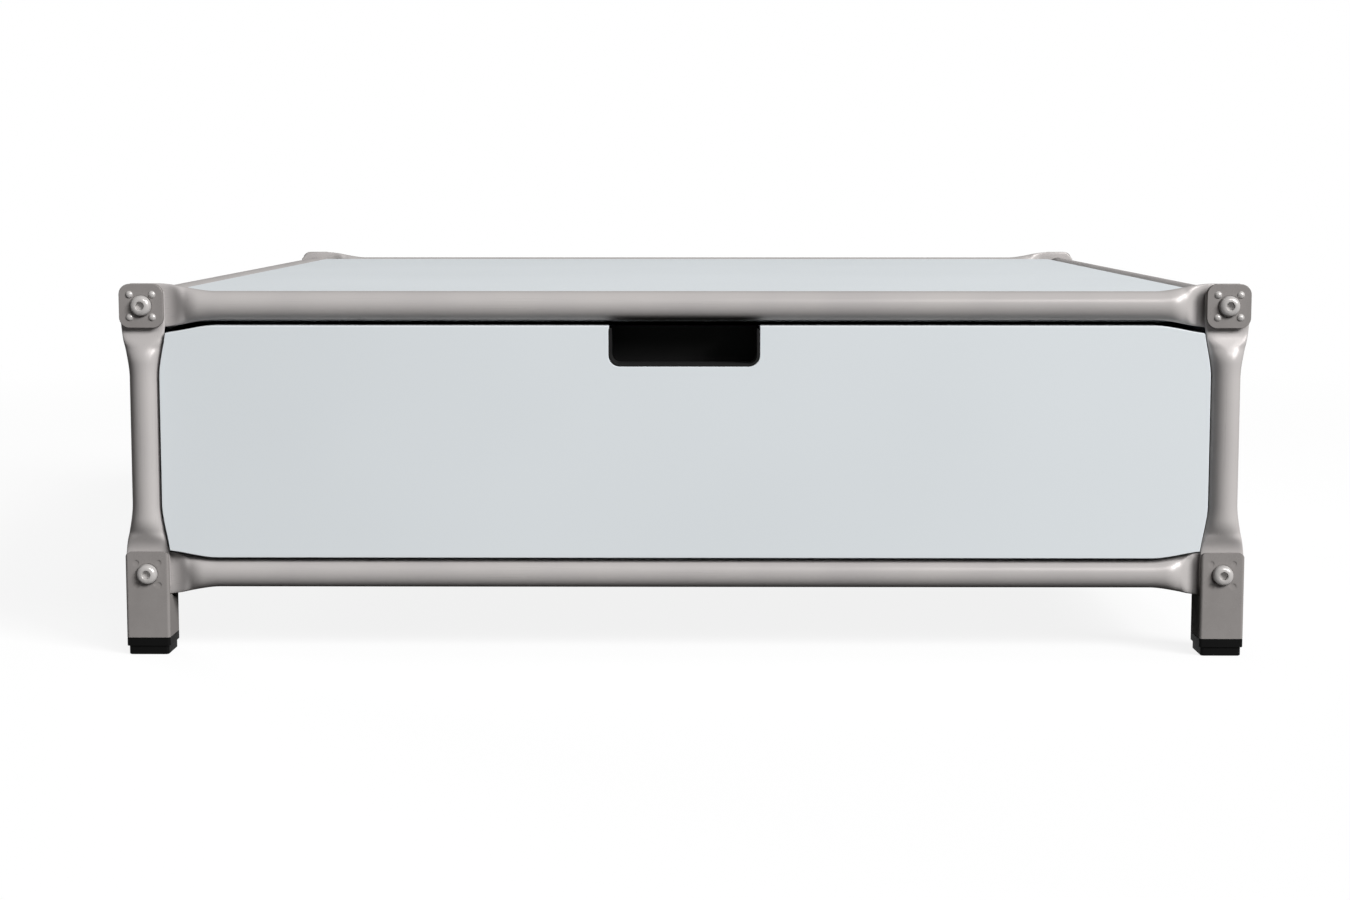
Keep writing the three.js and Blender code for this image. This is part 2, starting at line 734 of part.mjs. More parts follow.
// A lipped channel of sheet steel that opens towards -X, its web's back at X 0, centred on Y and Z
function runnerMember(height, depth, lip) {
  const half = height / 2;
  const section = new THREE.Shape([
    new THREE.Vector2(0, -half),
    new THREE.Vector2(0, half),
    new THREE.Vector2(-depth, half),
    new THREE.Vector2(-depth, half - lip),
    new THREE.Vector2(-depth + runnerSheet, half - lip),
    new THREE.Vector2(-depth + runnerSheet, half - runnerSheet),
    new THREE.Vector2(-runnerSheet, half - runnerSheet),
    new THREE.Vector2(-runnerSheet, -half + runnerSheet),
    new THREE.Vector2(-depth + runnerSheet, -half + runnerSheet),
    new THREE.Vector2(-depth + runnerSheet, -half + lip),
    new THREE.Vector2(-depth, -half + lip),
    new THREE.Vector2(-depth, -half),
  ]);
  return prismAlongY(section, -runnerLength / 2, runnerLength / 2);
}

// The cross rails and posts of the frame
function frameTubes() {
  const group = new THREE.Group();
  const levels = [
    { name: "top", z: topNodeZ, pinSide: -1 },
    { name: "bottom", z: bottomNodeZ, pinSide: 1 },
  ];
  for (const level of levels) {
    const front = piece(`rail_${level.name}_front`, crossRail(0), tubeSteel);
    front.position.set(0, -railY, level.z);
    const back = piece(`rail_${level.name}_back`, crossRail(level.pinSide), tubeSteel);
    back.position.set(0, railY, level.z);
    group.add(front, back);
    for (const side of [-1, 1]) {
      const hand = side < 0 ? "left" : "right";
      const tube = piece(`depth_tube_${level.name}_${hand}`, depthTube(-side, level.pinSide), tubeSteel);
      tube.position.set(side * nodeX, 0, level.z);
      group.add(tube);
    }
  }
  for (const depth of [-1, 1]) {
    for (const side of [-1, 1]) {
      const corner = `${depth < 0 ? "front" : "back"}_${side < 0 ? "left" : "right"}`;
      const post = piece(`post_${corner}`, cornerPost(), tubeSteel);
      post.position.set(side * nodeX, depth * postY, (bottomNodeZ + topNodeZ) / 2);
      group.add(post);
    }
  }
  return group;
}

// Screws, plugs, cover plates, legs and feet of the two nodes over one foot, with the outside towards -Y
function cornerHardware(corner) {
  const group = new THREE.Group();
  const levels = [
    { name: "top", z: topNodeZ, seatY: coverFaceY },
    { name: "bottom", z: bottomNodeZ, seatY: legFaceY },
  ];
  for (const level of levels) {
    const screw = piece(`screw_${level.name}_${corner}`, nodeScrew(), screwSteel);
    screw.position.set(0, -level.seatY + screwRecessDepth - seatGap, level.z);
    const plug = piece(`thread_plug_${level.name}_${corner}`, threadPlug(), runnerSteel);
    plug.position.set(0, -depthTubeLength / 2, level.z);
    group.add(screw, plug);
  }
  const cover = piece(`cover_plate_${corner}`, coverPlate(), plateSteel);
  cover.position.set(0, -coverFaceY, topNodeZ);
  const stand = piece(`leg_${corner}`, leg(), plateSteel);
  stand.position.set(0, -legFaceY, bottomNodeZ);
  const pad = piece(`foot_${corner}`, foot(), blackPlastic);
  pad.position.set(0, -legFaceY, 0);
  group.add(cover, stand, pad);
  return group;
}

// All four corners; the back ones are the front ones turned round
function corners() {
  const group = new THREE.Group();
  for (const side of [-1, 1]) {
    const hand = side < 0 ? "left" : "right";
    const front = cornerHardware(`front_${hand}`);
    front.position.x = side * nodeX;
    const back = cornerHardware(`back_${hand}`);
    back.position.x = side * nodeX;
    back.rotation.z = Math.PI;
    group.add(front, back);
  }
  return group;
}

// The fixed boards and panels
function boards() {
  const group = new THREE.Group();
  const topBoard = piece("top_board", tableBoard(), laminate);
  topBoard.position.z = topNodeZ + tubeRadius - boardBelowTube;
  const bottomBoard = piece("bottom_board", tableBoard(), laminate);
  bottomBoard.position.z = bottomNodeZ + tubeRadius - boardBelowTube;
  const leftPanel = piece("side_panel_left", sidePanel(), laminate);
  leftPanel.position.x = -nodeX;
  const rightPanel = piece("side_panel_right", sidePanel(), laminate);
  rightPanel.position.x = nodeX;
  const rear = piece("back_panel", backPanel(), laminate);
  rear.position.y = railY;
  group.add(topBoard, bottomBoard, leftPanel, rightPanel, rear);
  return group;
}

// The drawer, shut
function drawer() {
  const group = new THREE.Group();
  const sideCentreY = (boxFrontY + boxBackY) / 2;
  const right = piece("drawer_side_right", drawerSide(), carcassBoard);
  right.position.y = sideCentreY;
  const left = piece("drawer_side_left", drawerSide(), carcassBoard);
  left.position.y = sideCentreY;
  left.rotation.z = Math.PI;
  group.add(
    piece("drawer_front", drawerFront(), laminate),
    piece("grip_cup", gripCup(), blackPlastic),
    piece("drawer_bottom", drawerBottom(), carcassBoard),
    piece("drawer_back", drawerBack(), carcassBoard),
    right,
    left,
  );
  return group;
}

// The runner of one side: cabinet member on the panel, middle member, and drawer member on the drawer side
function runner(hand) {
  const group = new THREE.Group();
  const middleLip = middleMemberHeight / 2 - drawerMemberHeight / 2 - runnerRunningGap;
  const cabinetLip = cabinetMemberHeight / 2 - middleMemberHeight / 2 - runnerRunningGap;
  const cabinet = piece(
    `runner_cabinet_member_${hand}`,
    runnerMember(cabinetMemberHeight, cabinetMemberDepth, cabinetLip),
    runnerSteel,
  );
  cabinet.position.x = -seatGap;
  const middle = piece(
    `runner_middle_member_${hand}`,
    runnerMember(middleMemberHeight, middleMemberDepth, middleLip),
    runnerSteel,
  );
  middle.position.x = -middleMemberOffset;
  const moving = piece(
    `runner_drawer_member_${hand}`,
    runnerMember(drawerMemberHeight, drawerMemberDepth, runnerSheet),
    runnerSteel,
  );
  moving.position.x = -runnerSpace + seatGap;
  moving.rotation.z = Math.PI;
  group.add(cabinet, middle, moving);
  return group;
}

// Both runners at their height on the side panels
function runners() {
  const group = new THREE.Group();
  const right = runner("right");
  right.position.set(panelInnerX, runnerCentreY, runnerZ);
  const left = runner("left");
  left.position.set(-panelInnerX, runnerCentreY, runnerZ);
  left.rotation.z = Math.PI;
  group.add(right, left);
  return group;
}

const coffeeTable = new THREE.Group();
coffeeTable.add(frameTubes(), corners(), boards(), drawer(), runners());

export default coffeeTable;
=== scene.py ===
import math

import bmesh
import bpy
from mathutils import Matrix, Vector


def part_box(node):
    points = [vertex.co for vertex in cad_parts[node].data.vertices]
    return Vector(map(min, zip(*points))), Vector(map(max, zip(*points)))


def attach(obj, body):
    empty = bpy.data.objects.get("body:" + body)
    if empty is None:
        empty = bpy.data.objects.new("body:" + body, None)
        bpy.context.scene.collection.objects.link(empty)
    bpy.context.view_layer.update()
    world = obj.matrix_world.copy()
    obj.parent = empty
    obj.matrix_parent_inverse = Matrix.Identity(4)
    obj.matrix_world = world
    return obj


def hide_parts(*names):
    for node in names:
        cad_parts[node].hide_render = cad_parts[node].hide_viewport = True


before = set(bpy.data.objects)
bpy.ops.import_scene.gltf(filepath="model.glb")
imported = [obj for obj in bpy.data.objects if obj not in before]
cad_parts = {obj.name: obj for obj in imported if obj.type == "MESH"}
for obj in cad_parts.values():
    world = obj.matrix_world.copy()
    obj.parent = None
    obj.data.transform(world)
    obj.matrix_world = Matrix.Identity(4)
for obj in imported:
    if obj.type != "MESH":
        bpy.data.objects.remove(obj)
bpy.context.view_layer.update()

MM = 0.001
SIDES = {"left": -1, "right": 1}
ENDS = {"front": -1, "back": 1}
INWARD = {"top": -1, "bottom": 1}

# Tubes and their pressed ends
TUBE_RADIUS = 9.5 * MM
TUBE_WALL = 1.6 * MM
PRESSED_THICKNESS = 3.6 * MM
TIP_CHAMFER = 6 * MM
FLARE_START = 9 * MM
FLARE_END = 48 * MM
SWELL_END = 38 * MM
SWELL_EASE_SHARE = 0.35
SQUARING_START_SHARE = 0.35
ROUND_EXPONENT = 2
SQUARE_EXPONENT = 6
EDGE_BREAK = 0.4 * MM
PIN_RADIUS = 3 * MM
PIN_REACH = 9 * MM
BOARD_PIN_Y = 250 * MM
PANEL_PIN_Y = 200 * MM

# Node hardware
SCREW_HOLE_RADIUS = 4.4 * MM
SCREW_RECESS_RADIUS = 7.8 * MM
SCREW_RECESS_DEPTH = 0.6 * MM
SCREW_RECESS_SLOPE = 0.5 * MM
COVER_THICKNESS = 4 * MM
COVER_CORNER_RADIUS = 7 * MM
DOME_RADIUS = 2.5 * MM
DOME_HEIGHT = 1.4 * MM
DOME_FOOT = 0.05 * MM
DOME_EDGE_DISTANCE = 7.1 * MM
HEAD_RADIUS = 7 * MM
HEAD_HEIGHT = 4.4 * MM
HEAD_RIM = 0.8 * MM
HEAD_FLAT_RADIUS = 3.4 * MM
SHANK_RADIUS = 4 * MM
SCREW_LENGTH = 25 * MM
SCREW_TIP_CHAMFER = 1 * MM
THREAD_PITCH = 1.25 * MM
THREAD_RUNOUT_TURNS = 2
HEXAGON_SIDES = 6
SOCKET_ACROSS_FLATS = 5 * MM
SOCKET_DEPTH = 2.6 * MM
SOCKET_POINT_SHARE = 1 / 6
SOCKET_CHAMFER = 0.2 * MM
SEAT_GAP = 0.2 * MM

# Legs and feet
LEG_WALL = 3 * MM
LEG_CORNER_RADIUS = 2 * MM
TAB_CORNER_RADIUS = 4 * MM
TAB_RISE = 15 * MM
TAB_MARK_RADIUS = 2.7 * MM
TAB_MARK_DEPTH = 0.9 * MM
TAB_MARK_SLOPE = 0.7 * MM
FOOT_COLLAR_HEIGHT = 5.5 * MM
FOOT_INSET = 1.2 * MM
FOOT_CHAMFER = 0.5 * MM
FOOT_PLUG_GAP = 0.3 * MM
FOOT_PLUG_HEIGHT = 13 * MM
FOOT_GROOVE = 0.35 * MM

# Boards, drawer front and grip
BOARD_EDGE_BREAK = 0.5 * MM
BACK_PANEL_GAP = 1.5 * MM
FRONT_TOP_GAP = 3.8 * MM
FRONT_BOTTOM_GAP = 1.9 * MM
FRONT_SIDE_GAP = 1.5 * MM
GRIP_WIDTH = 100 * MM
GRIP_DROP = 26.7 * MM
GRIP_CORNER_RADIUS = 7.3 * MM
GRIP_LINING = 1.6 * MM
GRIP_POCKET_WALL = 2 * MM
GRIP_POCKET_BELOW_EDGE = 2 * MM
GRIP_POCKET_RADIUS = 5 * MM

# Runners
RUNNER_SHEET = 1.2 * MM
RUNNER_BEND = 2 * MM
RUNNER_EDGE_BREAK = 0.15 * MM
RUNNER_RUNNING_GAP = 0.6 * MM
RUNNER_SLOT_LENGTH = 12 * MM
RUNNER_SLOT_WIDTH = 5 * MM
RUNNER_SLOT_ROUND_SHARE = 0.99999
RUNNER_SCREW_RADIUS = 3.6 * MM
RUNNER_SCREW_EDGE = 0.3 * MM
RUNNER_SCREW_CROSS = 3.6 * MM
RUNNER_SCREW_SLIT = 0.8 * MM
RUNNER_SCREWS = 4
RUNNER_SLOTS = 5

# Fineness of the meshes
RING_POINTS = 64
FLARE_STEPS = 30
ROUND_POINTS = 48
SMALL_POINTS = 24
CORNER_STEPS = 8
OUTLINE_STEPS = 24
CORNER_PASSES = 40
BEND_STEPS = 6
DOME_STEPS = 7
HEAD_STEPS = 10
BEVEL_SEGMENTS = 3
FINE_BEVEL_SEGMENTS = 2
BEVEL_ANGLE = 30
CAD_BEVEL_ANGLE = 40
SOFT_EDGE_ANGLE = 38
CRISP_EDGE_ANGLE = 32
FLAT_FACE_WEIGHT = 100
OVERRUN = 2 * MM
CAD_WELD = 0.01 * MM
SLIVER = 0.002 * MM
SAME_POINT = 0.0001 * MM

# Finishes
# Tones are display values from 0 to 255, and a roughness runs from smooth to rough. A relief is a height and
# a strength. Lines, clouds and the like are noise: waves per metre, detail and the harshness of that detail.
NOISE_LOW = 0.3
NOISE_HIGH = 0.7
LINE_STRETCH = 0.02
TURNING_STRETCH = 0.1
STEEL_RIM_TONE = (90, 90, 90)
TUBE_TONES = ((176, 172, 170), (168, 164, 163))
TUBE_METALLIC = 0.09
TUBE_ROUGHNESS = (0.26, 0.35)
TUBE_RELIEF = (0.02 * MM, 0.35)
TUBE_LINES = (900, 3, 0.6)
TUBE_CLOUDS = (14, 3, 0.5)
PLATE_TONES = ((140, 136, 134), (133, 129, 127))
PLATE_METALLIC = 0.13
PLATE_ROUGHNESS = (0.24, 0.3)
PLATE_RELIEF = (0.02 * MM, 0.3)
PLATE_GRAIN = (1400, 2, 0.6)
PLATE_CLOUDS = (60, 4, 0.6)
SCREW_TONES = ((182, 179, 177), (170, 167, 165))
SCREW_METALLIC = 0.2
SCREW_ROUGHNESS = (0.2, 0.27)
SCREW_RELIEF = (0.01 * MM, 0.3)
SCREW_MARKS = (2600, 2, 0.5)
ZINC_TONES = ((176, 181, 185), (158, 163, 168))
ZINC_METALLIC = 0.9
ZINC_ROUGHNESS = (0.34, 0.5)
ZINC_RELIEF = (0.015 * MM, 0.35)
ZINC_LINES = (1100, 2, 0.6)
ZINC_PATCHES = (45, 3, 0.6)
LAMINATE_TONES = ((214, 219, 222), (211, 216, 219))
LAMINATE_ROUGHNESS = (0.7, 0.8)
LAMINATE_RELIEF = (0.03 * MM, 0.3)
CARCASS_TONES = ((206, 210, 212), (202, 206, 208))
CARCASS_ROUGHNESS = (0.54, 0.64)
CARCASS_RELIEF = (0.02 * MM, 0.3)
BOARD_GRAIN = (1600, 3, 0.6)
BOARD_CLOUDS = (5, 2, 0.5)
BOARD_PEBBLE_WAVES = 900
BOARD_IOR = 1.48
BOARD_GLOSS = 0.15
FOOT_TONES = ((6, 6, 6), (9, 9, 9))
# The grip's tones are partly its own dark grey and partly painted light, lightened to make up for the shade
# in its pocket under the rail.
GRIP_TONES_PAINTED_LIGHT = ((27, 27, 27), (31, 31, 31))
PLASTIC_ROUGHNESS = (0.5, 0.68)
PLASTIC_RELIEF = (0.04 * MM, 0.5)
PLASTIC_SPARKS = (2200, 3, 0.65)
PLASTIC_FLOW = (30, 2, 0.5)
PLASTIC_IOR = 1.46
PLASTIC_GLOSS = 0.07

# Display encoding of colours
DISPLAY_WHITE = 255
TOE_END = 0.04045
TOE_SLOPE = 12.92
CURVE_OFFSET = 0.055
CURVE_POWER = 2.4

# Sockets of a Mix node for colours, whose names repeat
MIX_FACTOR = 0
MIX_FIRST = 6
MIX_SECOND = 7
MIX_COLOUR = 2

# Camera, fitted to the photograph of 1350 x 900 pixels
IMAGE_WIDTH = 1350
IMAGE_HEIGHT = 900
FOCAL_PIXELS = 2337.0
CENTRE_COLUMN = 675.0
CENTRE_ROW = 420.7
SENSOR_WIDTH = 36.0
CAMERA_DISTANCE = 1545 * MM
CAMERA_SIDE = 5.3 * MM
CAMERA_HEIGHT = 314.7 * MM
CAMERA_PITCH = 5.77
CAMERA_YAW = 0.42

# Studio light; a level of 1 shows a white surface that faces the lamp as white
AMBIENT = 0.03
KEY_DIRECTION = (0.62, -0.56, 0.47)
KEY_SIDE = 4.8
KEY_LEVEL = 1.33
GLINT_DIRECTION = (0.29, -0.71, 0.64)
GLINT_SIDE = 3.2
GLINT_LEVEL = 0.3
REAR_DIRECTION = (-0.6, 0.78, 0.1)
REAR_SIDE = 5.2
REAR_LEVEL = 0.95
LAMP_DISTANCE = 12.0
LIT_POINT = (0, 0, 0.15)
FLOOR_BOUNCE = (30, 30, 30)
FLOOR_SEEN = (255, 255, 255)
FLOOR_REACH = 30.0
FLOOR_GAP = 0.2 * MM
SHADOW_REACH = 1.2
SHADOW_END = 2.4
SHADOW_LIFT = 0.87


# Reading places from the frame

def low_of(node):
    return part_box(node)[0]


def high_of(node):
    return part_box(node)[1]


def middle_of(node):
    low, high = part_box(node)
    return (low + high) / 2


NODE_X = middle_of("cover_plate_front_right").x
TOP_Z = middle_of("cover_plate_front_right").z
PRESSED_WIDTH = high_of("cover_plate_front_right").z - low_of("cover_plate_front_right").z
RAIL_Y = middle_of("rail_top_back").y
POST_Y = middle_of("post_back_right").y
FOOT_TOP_Z = low_of("leg_front_right").z
BOTTOM_Z = middle_of("screw_bottom_front_right").z
LEVEL_Z = {"top": TOP_Z, "bottom": BOTTOM_Z}
COVER_FACE_Y = high_of("cover_plate_back_right").y - DOME_HEIGHT
LEG_FACE_Y = high_of("leg_back_right").y
HALF_DEPTH_TUBE = high_of("depth_tube_top_left").y
FRONT_FACE_Y = low_of("drawer_front").y
FRONT_BACK_Y = high_of("drawer_front").y
FRONT_TOP_Z = high_of("drawer_front").z


# Mesh tools

def link(name, mesh, material):
    mesh.materials.append(material)
    obj = bpy.data.objects.new(name, mesh)
    bpy.context.scene.collection.objects.link(obj)
    return obj


def from_bmesh(name, bm, material):
    """An object from a bmesh, its doubled points joined and its faces turned outwards."""
    bmesh.ops.remove_doubles(bm, verts=bm.verts, dist=SAME_POINT)
    bmesh.ops.recalc_face_normals(bm, faces=bm.faces)
    mesh = bpy.data.meshes.new(name)
    bm.to_mesh(mesh)
    bm.free()
    return link(name, mesh, material)


def into_bmesh(obj, bm):
    """Moves the mesh of an object into a bmesh and removes the object."""
    bm.from_mesh(obj.data)
    bpy.data.objects.remove(obj)
    return bm


def loft(rings, closed=False):
    """A skin over rings of points; closed joins the last ring to the first, else both ends are capped."""
    bm = bmesh.new()
    loops = [[bm.verts.new(point) for point in ring] for ring in rings]
    pairs = list(zip(loops, loops[1:]))
    if closed:
        pairs.append((loops[-1], loops[0]))
    for first, second in pairs:
        for index in range(len(first)):
            after = (index + 1) % len(first)
            bm.faces.new((first[index], first[after], second[after], second[index]))
    if not closed:
        bm.faces.new(list(reversed(loops[0])))
        bm.faces.new(loops[-1])
    return bm


def lathe(profile, count, closed=False):
    """A turned form about the Y axis from (radius, y) pairs."""
    turns = [2 * math.pi * index / count for index in range(count)]
    rings = []
    for radius, y in profile:
        rings.append([(radius * math.cos(turn), y, radius * math.sin(turn)) for turn in turns])
    return loft(rings, closed)


def prism_y(outline, low, high):
    """An outline of (x, z) points stretched along Y."""
    return loft([[(x, y, z) for x, z in outline] for y in (low, high)])


def prism_z(outline, low, high):
    """An outline of (x, y) points stretched along Z."""
    return loft([[(x, y, z) for x, y in outline] for z in (low, high)])


def box_points(low, high):
    """The corners of a plain rectangle."""
    return [(low[0], low[1]), (high[0], low[1]), (high[0], high[1]), (low[0], high[1])]


def arc(centre, radius, start, end, steps):
    """Points on an arc between two angles in degrees."""
    points = []
    for step in range(steps + 1):
        angle = math.radians(start + (end - start) * step / steps)
        points.append((centre[0] + radius * math.cos(angle), centre[1] + radius * math.sin(angle)))
    return points


def rounded_rectangle(low, high, radius, steps=CORNER_STEPS):
    """Outline points of a rectangle with round corners."""
    corners = (
        ((high[0] - radius, high[1] - radius), 0),
        ((low[0] + radius, high[1] - radius), 90),
        ((low[0] + radius, low[1] + radius), 180),
        ((high[0] - radius, low[1] + radius), 270),
    )
    points = []
    for centre, start in corners:
        points += arc(centre, radius, start, start + 90, steps)
    return points


def bake(obj):
    """Applies the modifiers of an object."""
    depsgraph = bpy.context.evaluated_depsgraph_get()
    mesh = bpy.data.meshes.new_from_object(obj.evaluated_get(depsgraph))
    obj.modifiers.clear()
    obj.data = mesh
    return obj


def close_slivers(obj):
    """Closes the faces and edges of almost no size that a boolean or a bevel leaves."""
    bm = bmesh.new()
    bm.from_mesh(obj.data)
    bmesh.ops.dissolve_degenerate(bm, dist=SLIVER, edges=bm.edges)
    bm.to_mesh(obj.data)
    bm.free()


def cut(obj, operation, bm, material=None):
    """Joins or cuts an object with a closed mesh, which may bring its own material."""
    tool = from_bmesh("tool", bm, material or obj.data.materials[0])
    modifier = obj.modifiers.new("cut", "BOOLEAN")
    modifier.operation = operation
    modifier.solver = "EXACT"
    modifier.material_mode = "TRANSFER"
    modifier.object = tool
    bake(obj)
    close_slivers(obj)
    bpy.data.objects.remove(tool)
    return obj


def shade(obj, angle, flats=False):
    """Smooth shading with edges sharper than an angle kept sharp; flats lets the large faces stay flat."""
    for polygon in obj.data.polygons:
        polygon.use_smooth = True
    obj.data.set_sharp_from_angle(angle=math.radians(angle))
    if flats:
        weighted = obj.modifiers.new("normals", "WEIGHTED_NORMAL")
        weighted.mode = "FACE_AREA"
        weighted.weight = FLAT_FACE_WEIGHT
        weighted.keep_sharp = True
        bake(obj)
    return obj


def break_edges(obj, width, segments=BEVEL_SEGMENTS):
    """Rounds the sharp edges a little and keeps the flats flat."""
    bevel = obj.modifiers.new("edges", "BEVEL")
    bevel.width = width
    bevel.segments = segments
    bevel.limit_method = "ANGLE"
    bevel.angle_limit = math.radians(BEVEL_ANGLE)
    bevel.use_clamp_overlap = True
    bake(obj)
    close_slivers(obj)
    for polygon in obj.data.polygons:
        polygon.use_smooth = True
    weighted = obj.modifiers.new("normals", "WEIGHTED_NORMAL")
    weighted.mode = "FACE_AREA"
    weighted.weight = FLAT_FACE_WEIGHT
    return bake(obj)


def soften_cad(node, material, width):
    """Gives a CAD node broken edges, flat faces and a material; its own mesh stays as it is."""
    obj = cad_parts[node]
    weld = obj.modifiers.new("weld", "WELD")
    weld.merge_threshold = CAD_WELD
    bevel = obj.modifiers.new("edges", "BEVEL")
    bevel.width = width
    bevel.segments = FINE_BEVEL_SEGMENTS
    bevel.limit_method = "ANGLE"
    bevel.angle_limit = math.radians(CAD_BEVEL_ANGLE)
    normals = obj.modifiers.new("normals", "WEIGHTED_NORMAL")
    normals.weight = FLAT_FACE_WEIGHT
    for slot in obj.material_slots:
        slot.material = material
    return obj


def fit(obj, body, slot, *nodes):
    """Puts a piece on its body in place of CAD nodes; the slot is not used."""
    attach(obj, body)
    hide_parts(*nodes)
    return obj


# Material tools

class Shader:
    """A principled material with short ways to add nodes."""

    def __init__(self, name):
        self.material = bpy.data.materials.new(name)
        self.material.use_nodes = True
        self.tree = self.material.node_tree
        self.surface = self.tree.nodes["Principled BSDF"]
        self.place = self.add("ShaderNodeTexCoord").outputs["Object"]

    def add(self, kind, **settings):
        node = self.tree.nodes.new(kind)
        for key, value in settings.items():
            setattr(node, key, value)
        return node

    def wire(self, source, target):
        self.tree.links.new(source, target)

    def set(self, **values):
        for key, value in values.items():
            self.surface.inputs[key.replace("_", " ")].default_value = value

    def noise(self, pattern, stretch=None):
        """A noise pattern, drawn out along each axis whose stretch is below 1."""
        waves, detail, harshness = pattern
        node = self.add("ShaderNodeTexNoise")
        node.inputs["Scale"].default_value = waves
        node.inputs["Detail"].default_value = detail
        node.inputs["Roughness"].default_value = harshness
        vector = self.place
        if stretch:
            mapping = self.add("ShaderNodeMapping")
            mapping.inputs["Scale"].default_value = stretch
            self.wire(self.place, mapping.inputs["Vector"])
            vector = mapping.outputs["Vector"]
        self.wire(vector, node.inputs["Vector"])
        return node.outputs["Fac"]

    def span(self, source, low, high, start=NOISE_LOW, end=NOISE_HIGH, ease="LINEAR"):
        """Maps a value from start and end to low and high."""
        node = self.add("ShaderNodeMapRange", interpolation_type=ease)
        node.inputs["From Min"].default_value = start
        node.inputs["From Max"].default_value = end
        node.inputs["To Min"].default_value = low
        node.inputs["To Max"].default_value = high
        self.wire(source, node.inputs["Value"])
        return node.outputs["Result"]

    def mixed(self, factor, first, second):
        """A mix of two display colours."""
        node = self.add("ShaderNodeMix", data_type="RGBA")
        self.wire(factor, node.inputs[MIX_FACTOR])
        node.inputs[MIX_FIRST].default_value = colour(first)
        node.inputs[MIX_SECOND].default_value = colour(second)
        return node.outputs[MIX_COLOUR]

    def bump(self, height, relief, below=None):
        distance, strength = relief
        node = self.add("ShaderNodeBump")
        node.inputs["Distance"].default_value = distance
        node.inputs["Strength"].default_value = strength
        self.wire(height, node.inputs["Height"])
        if below:
            self.wire(below, node.inputs["Normal"])
        return node.outputs["Normal"]

    def tones(self, noise, tones):
        self.wire(self.mixed(self.span(noise, 0, 1), *tones), self.surface.inputs["Base Color"])

    def roughness(self, noise, roughness):
        self.wire(self.span(noise, *roughness), self.surface.inputs["Roughness"])

    def relief(self, height, relief, below=None):
        self.wire(self.bump(height, relief, below), self.surface.inputs["Normal"])


def colour(tone):
    """Linear colour from display values."""
    linear = []
    for value in tone:
        share = value / DISPLAY_WHITE
        if share <= TOE_END:
            linear.append(share / TOE_SLOPE)
        else:
            linear.append(((share + CURVE_OFFSET) / (1 + CURVE_OFFSET)) ** CURVE_POWER)
    return (*linear, 1.0)


def satin(shader, metallic):
    """Steel that is mostly a grey of its own, with a little metal gloss and a calm rim."""
    shader.set(Metallic=metallic, Specular_IOR_Level=0.0, Specular_Tint=colour(STEEL_RIM_TONE))
    return shader.material


def tube_steel():
    """Drawn satin steel with fine lines along X and a faint cloudiness."""
    shader = Shader("tube_steel")
    lines = shader.noise(TUBE_LINES, (LINE_STRETCH, 1, 1))
    shader.tones(shader.noise(TUBE_CLOUDS), TUBE_TONES)
    shader.roughness(lines, TUBE_ROUGHNESS)
    shader.relief(lines, TUBE_RELIEF)
    return satin(shader, TUBE_METALLIC)


def plate_steel():
    """Pickled plate steel, darker, with fine mottling."""
    shader = Shader("plate_steel")
    clouds = shader.noise(PLATE_CLOUDS)
    shader.tones(clouds, PLATE_TONES)
    shader.roughness(clouds, PLATE_ROUGHNESS)
    shader.relief(shader.noise(PLATE_GRAIN), PLATE_RELIEF)
    return satin(shader, PLATE_METALLIC)


def screw_steel():
    """Bright screws with turning marks."""
    shader = Shader("screw_steel")
    marks = shader.noise(SCREW_MARKS, (1, TURNING_STRETCH, 1))
    shader.tones(marks, SCREW_TONES)
    shader.roughness(marks, SCREW_ROUGHNESS)
    shader.relief(marks, SCREW_RELIEF)
    return satin(shader, SCREW_METALLIC)


def zinc_steel():
    """Blue zinc on rolled sheet: soft patches and rolling lines along Y."""
    shader = Shader("zinc_steel")
    patches = shader.noise(ZINC_PATCHES)
    shader.tones(patches, ZINC_TONES)
    shader.roughness(patches, ZINC_ROUGHNESS)
    shader.relief(shader.noise(ZINC_LINES, (1, LINE_STRETCH, 1)), ZINC_RELIEF)
    shader.set(Metallic=ZINC_METALLIC)
    return shader.material


def laminate(name, tones, roughness, relief):
    """Pressed laminate with a fine pebble grain and barely visible clouds of colour."""
    shader = Shader(name)
    grain = shader.noise(BOARD_GRAIN)
    pebbles = shader.add("ShaderNodeTexVoronoi", feature="SMOOTH_F1")
    pebbles.inputs["Scale"].default_value = BOARD_PEBBLE_WAVES
    shader.wire(shader.place, pebbles.inputs["Vector"])
    shader.tones(shader.noise(BOARD_CLOUDS), tones)
    shader.roughness(grain, roughness)
    height, strength = relief
    fine = shader.bump(grain, (height / 2, strength))
    shader.relief(pebbles.outputs["Distance"], relief, fine)
    shader.set(IOR=BOARD_IOR, Specular_IOR_Level=BOARD_GLOSS)
    return shader.material


def black_plastic(name, tones):
    """Moulded black plastic with a sparked texture."""
    shader = Shader(name)
    sparks = shader.noise(PLASTIC_SPARKS)
    shader.tones(shader.noise(PLASTIC_FLOW), tones)
    shader.roughness(sparks, PLASTIC_ROUGHNESS)
    shader.relief(sparks, PLASTIC_RELIEF)
    shader.set(IOR=PLASTIC_IOR, Specular_IOR_Level=PLASTIC_GLOSS)
    return shader.material


TUBE_STEEL = tube_steel()
PLATE_STEEL = plate_steel()
SCREW_STEEL = screw_steel()
ZINC_STEEL = zinc_steel()
LAMINATE = laminate("laminate", LAMINATE_TONES, LAMINATE_ROUGHNESS, LAMINATE_RELIEF)
CARCASS = laminate("carcass", CARCASS_TONES, CARCASS_ROUGHNESS, CARCASS_RELIEF)
FOOT_PLASTIC = black_plastic("foot_plastic", FOOT_TONES)
